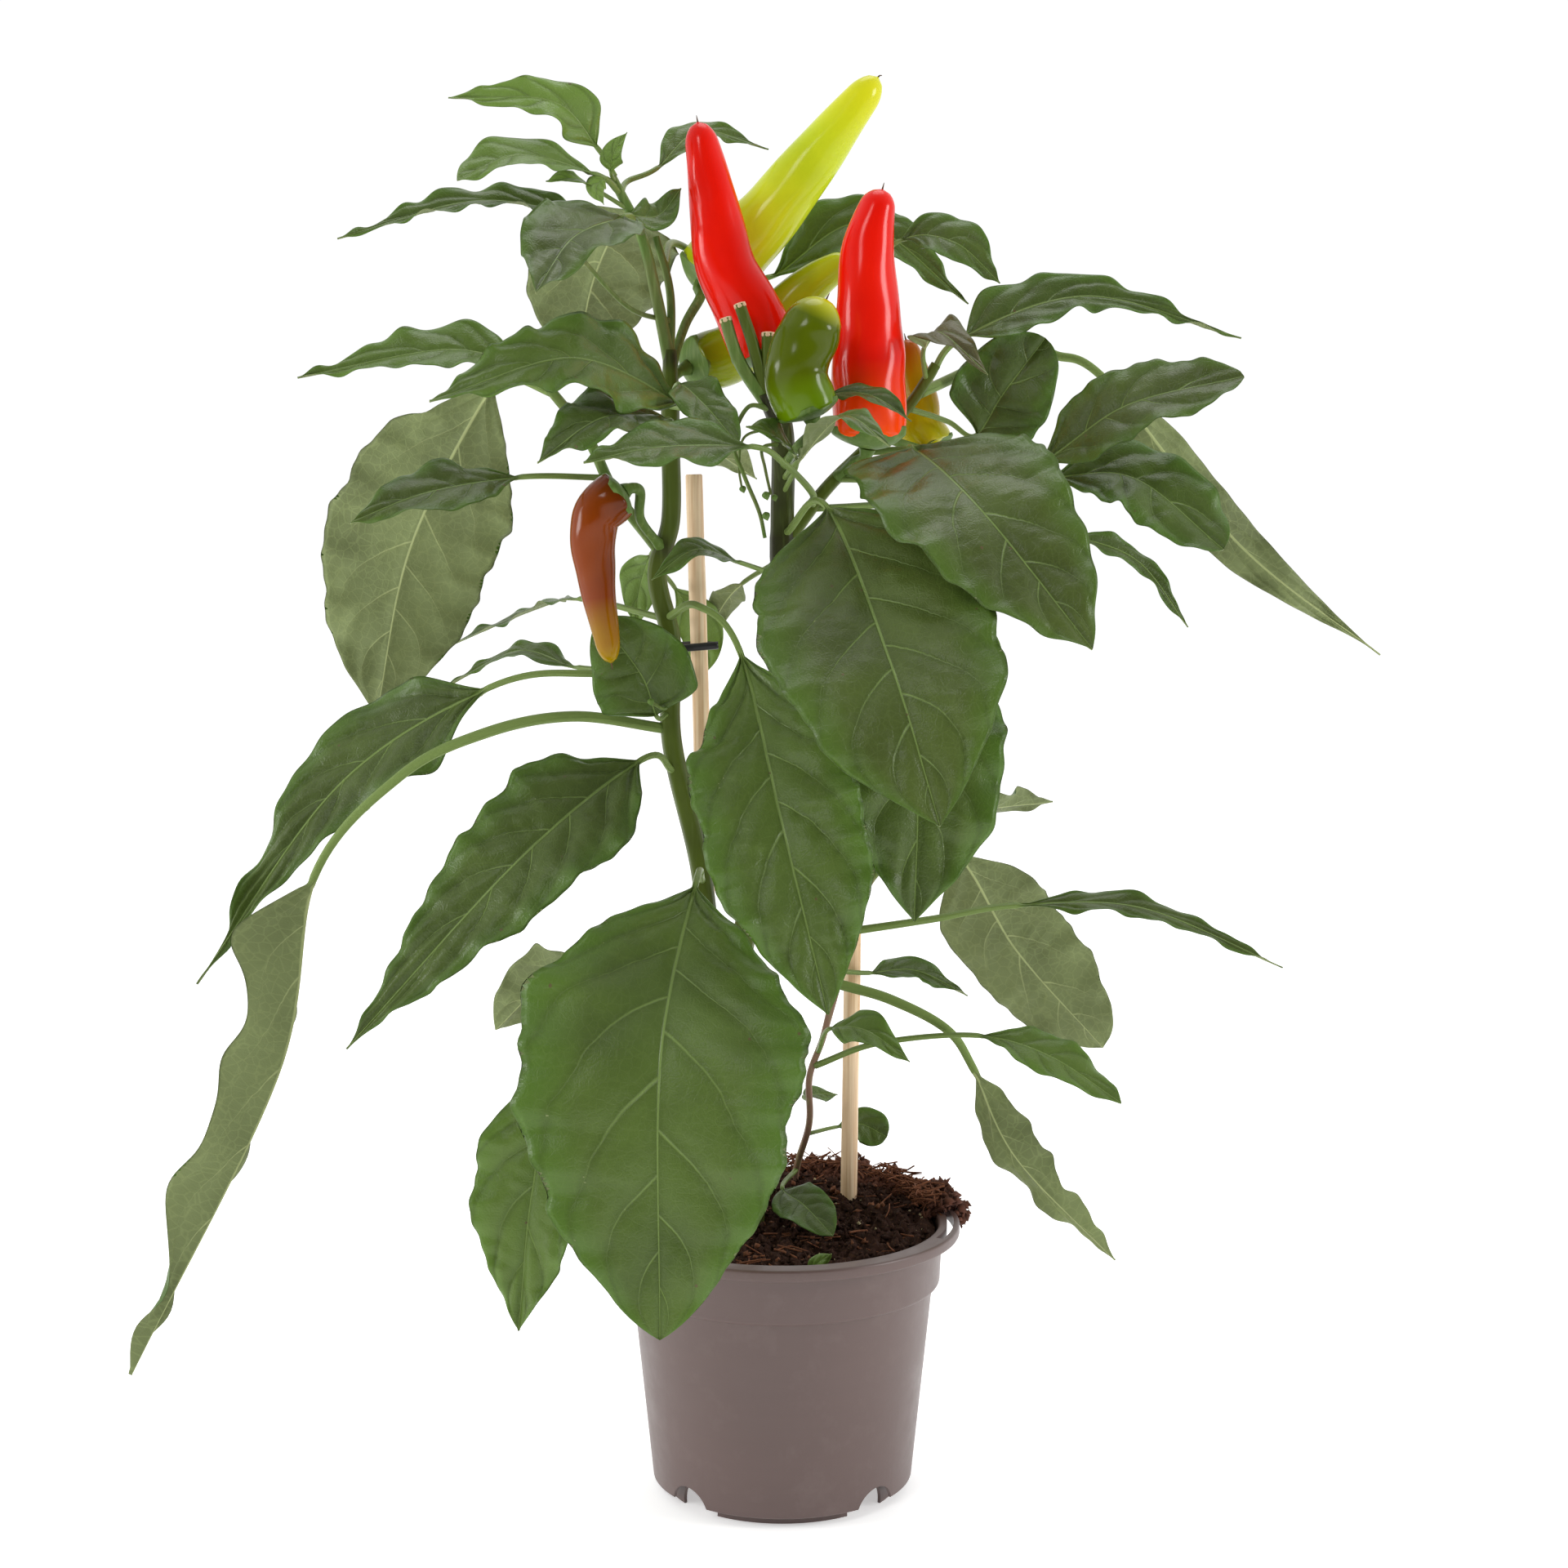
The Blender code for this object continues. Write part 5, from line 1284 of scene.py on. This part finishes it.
class PLANT_OT_pods(Operator):
    """Grows every pod with its calyx, its stalk and the dry hair at its tip"""

    bl_idname = "plant.pods"
    bl_label = "Pods"

    def execute(self, context):
        settings = context.scene.plant_pods
        stems = context.scene.plant_stems
        skins = {
            "red": pod_skin("ripe_red_pod", "#e42402", "#e21404", "#d81004", "#ea1c06"),
            "yellow": pod_skin("yellow_green_pod", "#8c9c10", "#c2d222", "#d4d01a", "#aec218"),
            "green": pod_skin("green_pod", "#6c9004", "#4e5c02", "#bcbc0c", "#3e4a02"),
            "orange": pod_skin("turning_pod", "#461802", "#7c3402", "#a08602", "#8a4002"),
            "ripening": pod_skin("ripening_pod", "#bcc40e", "#b0a00c", "#b4420c", "#a8680c"),
            # The pod at the back gets a darker copy of the yellow-green skin: painted shade for its place
            # behind the others, over a dark green foot of its own.
            "chilli_yellow_back": pod_skin("yellow_pod_painted_shade", "#566206", "#98a814", "#bccc20", "#74820a"),
            "chilli_red_right": pod_skin("orange_footed_pod", "#ff5c02", "#e21404", "#d81004", "#ea1c06"),
        }
        slots = {"red": "red_pod", "yellow": "yellow_pod", "green": "green_pod", "orange": "orange_pod",
                 "ripening": "green_pod"}
        stalk_skin = stem_skin("pod_stalk_skin", stems.young, stems.green, "#8a9c5c")
        dry = plain_matter("dry_style_hair", "#3a2a1c", "#6a4c30", 800, 0.8)
        for seed, (name, (stem, height, stalk, pod, radius, colour)) in enumerate(PODS.items()):
            draw = np.random.default_rng(POD_SEED + seed)
            slimming, blunt = (0.12, 0.38) if name == "chilli_green_small" else (0.62, 0.07)
            start = joint_point(stem, height, (stalk + pod)[0])
            route = np.array([start, *stalk, *pod], float)
            shoulder = len(stalk) + 1
            spans = len(pod) - 1
            s = np.linspace(0, 1, 90) ** 1.25
            line = along_curve(route, shoulder + s * spans)
            sides = settings.sides
            a = np.linspace(0, 2 * math.pi, sides, endpoint=False)
            lobes = 1 + 0.03 * np.cos(3 * a + draw.uniform(0, 6)) * smooth(0.9, 0.3, s)[:, None]
            dents = 0.012 * np.sin(2 * a + 16 * s[:, None] + draw.uniform(0, 6))
            dents = dents + 0.012 * np.sin(3 * a - 27 * s[:, None] + draw.uniform(0, 6))
            radii = radius * np.maximum(pod_radius(s, slimming, blunt), 0.012)[:, None] * (lobes + dents)
            add_tube(name + "_fruit", line, radii, sides, skins.get(name, skins[colour]), slots[colour],
                     [name], {"run": s})
            reach = np.linspace(0, shoulder, 30 * shoulder)
            path = along_curve(route, reach)
            thick = np.interp(reach, (0, 0.3, shoulder - 0.3, shoulder), (2.2, 1.6, 1.9, 3.0))
            add_tube(name + "_stalk", path, thick, 20, stalk_skin, slots[colour], values={"age": 0.1},
                     ribs=5, rib_depth=0.06)
            self.calyx(name, route, shoulder, spans, radius, stalk_skin, slots[colour])
            tip = line[-1]
            heading = headings(line)[-1]
            hair = tip + heading * np.linspace(-1.0, 2.2, 6)[:, None]
            hair[:, 2] = np.minimum(hair[:, 2], PLANT_TOP)
            add_tube(name + "_hair", hair, np.linspace(0.45, 0.12, 6), 8, dry, slots[colour])
        return {"FINISHED"}

    def calyx(self, name, route, shoulder, spans, radius, skin, slot):
        """A cup over the pod's shoulder whose mouth has five shallow points."""
        sides, rows = 60, 16
        s = np.linspace(0.0, 0.09, rows)
        line = along_curve(route, shoulder + s * spans)
        a = np.linspace(0, 2 * math.pi, sides, endpoint=False)
        outer = radius * pod_radius(s, 0.62, 0.07)[:, None] * 1.045 + 0.35
        drop = 1 - 0.16 * (1 + np.cos(5 * a))[None] * (s / s[-1])[:, None] ** 3
        radii = np.maximum(outer * drop, 0.8)
        add_tube(name + "_calyx", line, radii, sides, skin, slot, values={"age": 0.0})


# ---------------------------------------------------------------- stage

FLOOR_REACH = 6.0
FLOOR_GLOW = 0.45
SENSOR_WIDTH = 36
CAMERA_SHIFT = 1 / 960

# The room's light by direction along Y: from and to, then its strength at each
ROOM_LIGHT = (-0.85, 0.15, 0.12, 1.03)

# Lamp name, place, height it aims at, size in metres, power in watts
LAMPS = (
    ("key", (-0.7, -1.2, 1.3), 0.28, 0.5, 5.5),
    ("left_fill", (-1.4, -0.3, 0.5), 0.25, 0.5, 7),
    ("right_fill", (1.4, -0.4, 0.7), 0.25, 0.5, 8),
    ("top", (0.1, 0.4, 1.8), 0.25, 1.0, 6),
)


def area_light(name, place, aim, size, power):
    """A round soft lamp that faces a point at the given height on the pot's axis."""
    data = bpy.data.lights.new(name, "AREA")
    data.shape = "DISK"
    data.size = size
    data.energy = power
    lamp = bpy.data.objects.new(name, data)
    bpy.context.scene.collection.objects.link(lamp)
    lamp.location = place
    away = Vector(place) - Vector((0, 0, aim))
    lamp.rotation_euler = away.to_track_quat("Z", "Y").to_euler()


class PLANT_OT_stage(Operator):
    """Lays the pale floor, hangs the soft lights and sets the camera"""

    bl_idname = "plant.stage"
    bl_label = "Stage"

    def execute(self, context):
        settings = context.scene.plant_stage
        mesh = bpy.data.meshes.new("floor")
        corners = [(x * FLOOR_REACH, y * FLOOR_REACH, 0) for x, y in ((-1, -1), (1, -1), (1, 1), (-1, 1))]
        mesh.from_pydata(corners, [], [(0, 1, 2, 3)])
        floor = bpy.data.objects.new("floor", mesh)
        context.scene.collection.objects.link(floor)
        paint, _, shader = new_finish("pale_floor")
        shader.inputs["Base Color"].default_value = rgba("#f4f4f4")
        shader.inputs["Emission Color"].default_value = (1, 1, 1, 1)
        shader.inputs["Emission Strength"].default_value = FLOOR_GLOW
        shader.inputs["Roughness"].default_value = 0.9
        mesh.materials.append(paint)
        context.scene.view_settings.view_transform = "Standard"
        world = bpy.data.worlds.new("soft_room")
        context.scene.world = world
        world.use_nodes = True
        back = world.node_tree.nodes["Background"]
        back.inputs["Color"].default_value = (1, 1, 1, 1)
        sky = world.node_tree
        place = node(sky, "ShaderNodeTexCoord", out="Generated")
        axes = node(sky, "ShaderNodeSeparateXYZ", {0: place}, "Y")
        level = ranged(sky, axes, *ROOM_LIGHT)
        link(sky, level, back, "Strength")
        for lamp in LAMPS:
            area_light(*lamp)
        data = bpy.data.cameras.new("camera")
        data.sensor_width = SENSOR_WIDTH
        data.lens = settings.lens
        data.shift_x = CAMERA_SHIFT
        data.clip_start = 0.05
        data.dof.use_dof = False
        camera = bpy.data.objects.new("camera", data)
        context.scene.collection.objects.link(camera)
        camera.location = (0, -settings.distance, settings.height)
        camera.rotation_euler = (math.pi / 2 - settings.pitch, 0, 0)
        context.scene.camera = camera
        return {"FINISHED"}


class PLANT_PT_panel(Panel):
    """Lists the steps that build the plant"""

    bl_label = "Chilli Plant"
    bl_space_type = "VIEW_3D"
    bl_region_type = "UI"
    bl_category = "Plant"

    def draw(self, context):
        for name in SETTINGS:
            box = self.layout.box()
            group = getattr(context.scene, name)
            for key in type(group).__annotations__:
                box.prop(group, key)
        for operator in OPERATORS:
            self.layout.operator(operator.bl_idname)


SETTINGS = {
    "plant_pot": PotSettings, "plant_soil": SoilSettings, "plant_stems": StemSettings,
    "plant_leaves": LeafSettings, "plant_pods": PodSettings, "plant_stage": StageSettings,
}
OPERATORS = (PLANT_OT_pot, PLANT_OT_soil, PLANT_OT_canes, PLANT_OT_stems, PLANT_OT_leaves, PLANT_OT_pods,
             PLANT_OT_stage)


def register():
    for kind in (*SETTINGS.values(), *OPERATORS, PLANT_PT_panel):
        bpy.utils.register_class(kind)
    for name, kind in SETTINGS.items():
        setattr(bpy.types.Scene, name, PointerProperty(type=kind))


def unregister():
    for name in SETTINGS:
        delattr(bpy.types.Scene, name)
    for kind in reversed((*SETTINGS.values(), *OPERATORS, PLANT_PT_panel)):
        bpy.utils.unregister_class(kind)


def main():
    register()
    for operator in OPERATORS:
        group, step = operator.bl_idname.split(".")
        getattr(getattr(bpy.ops, group), step)()


if __name__ == "__main__":
    main()
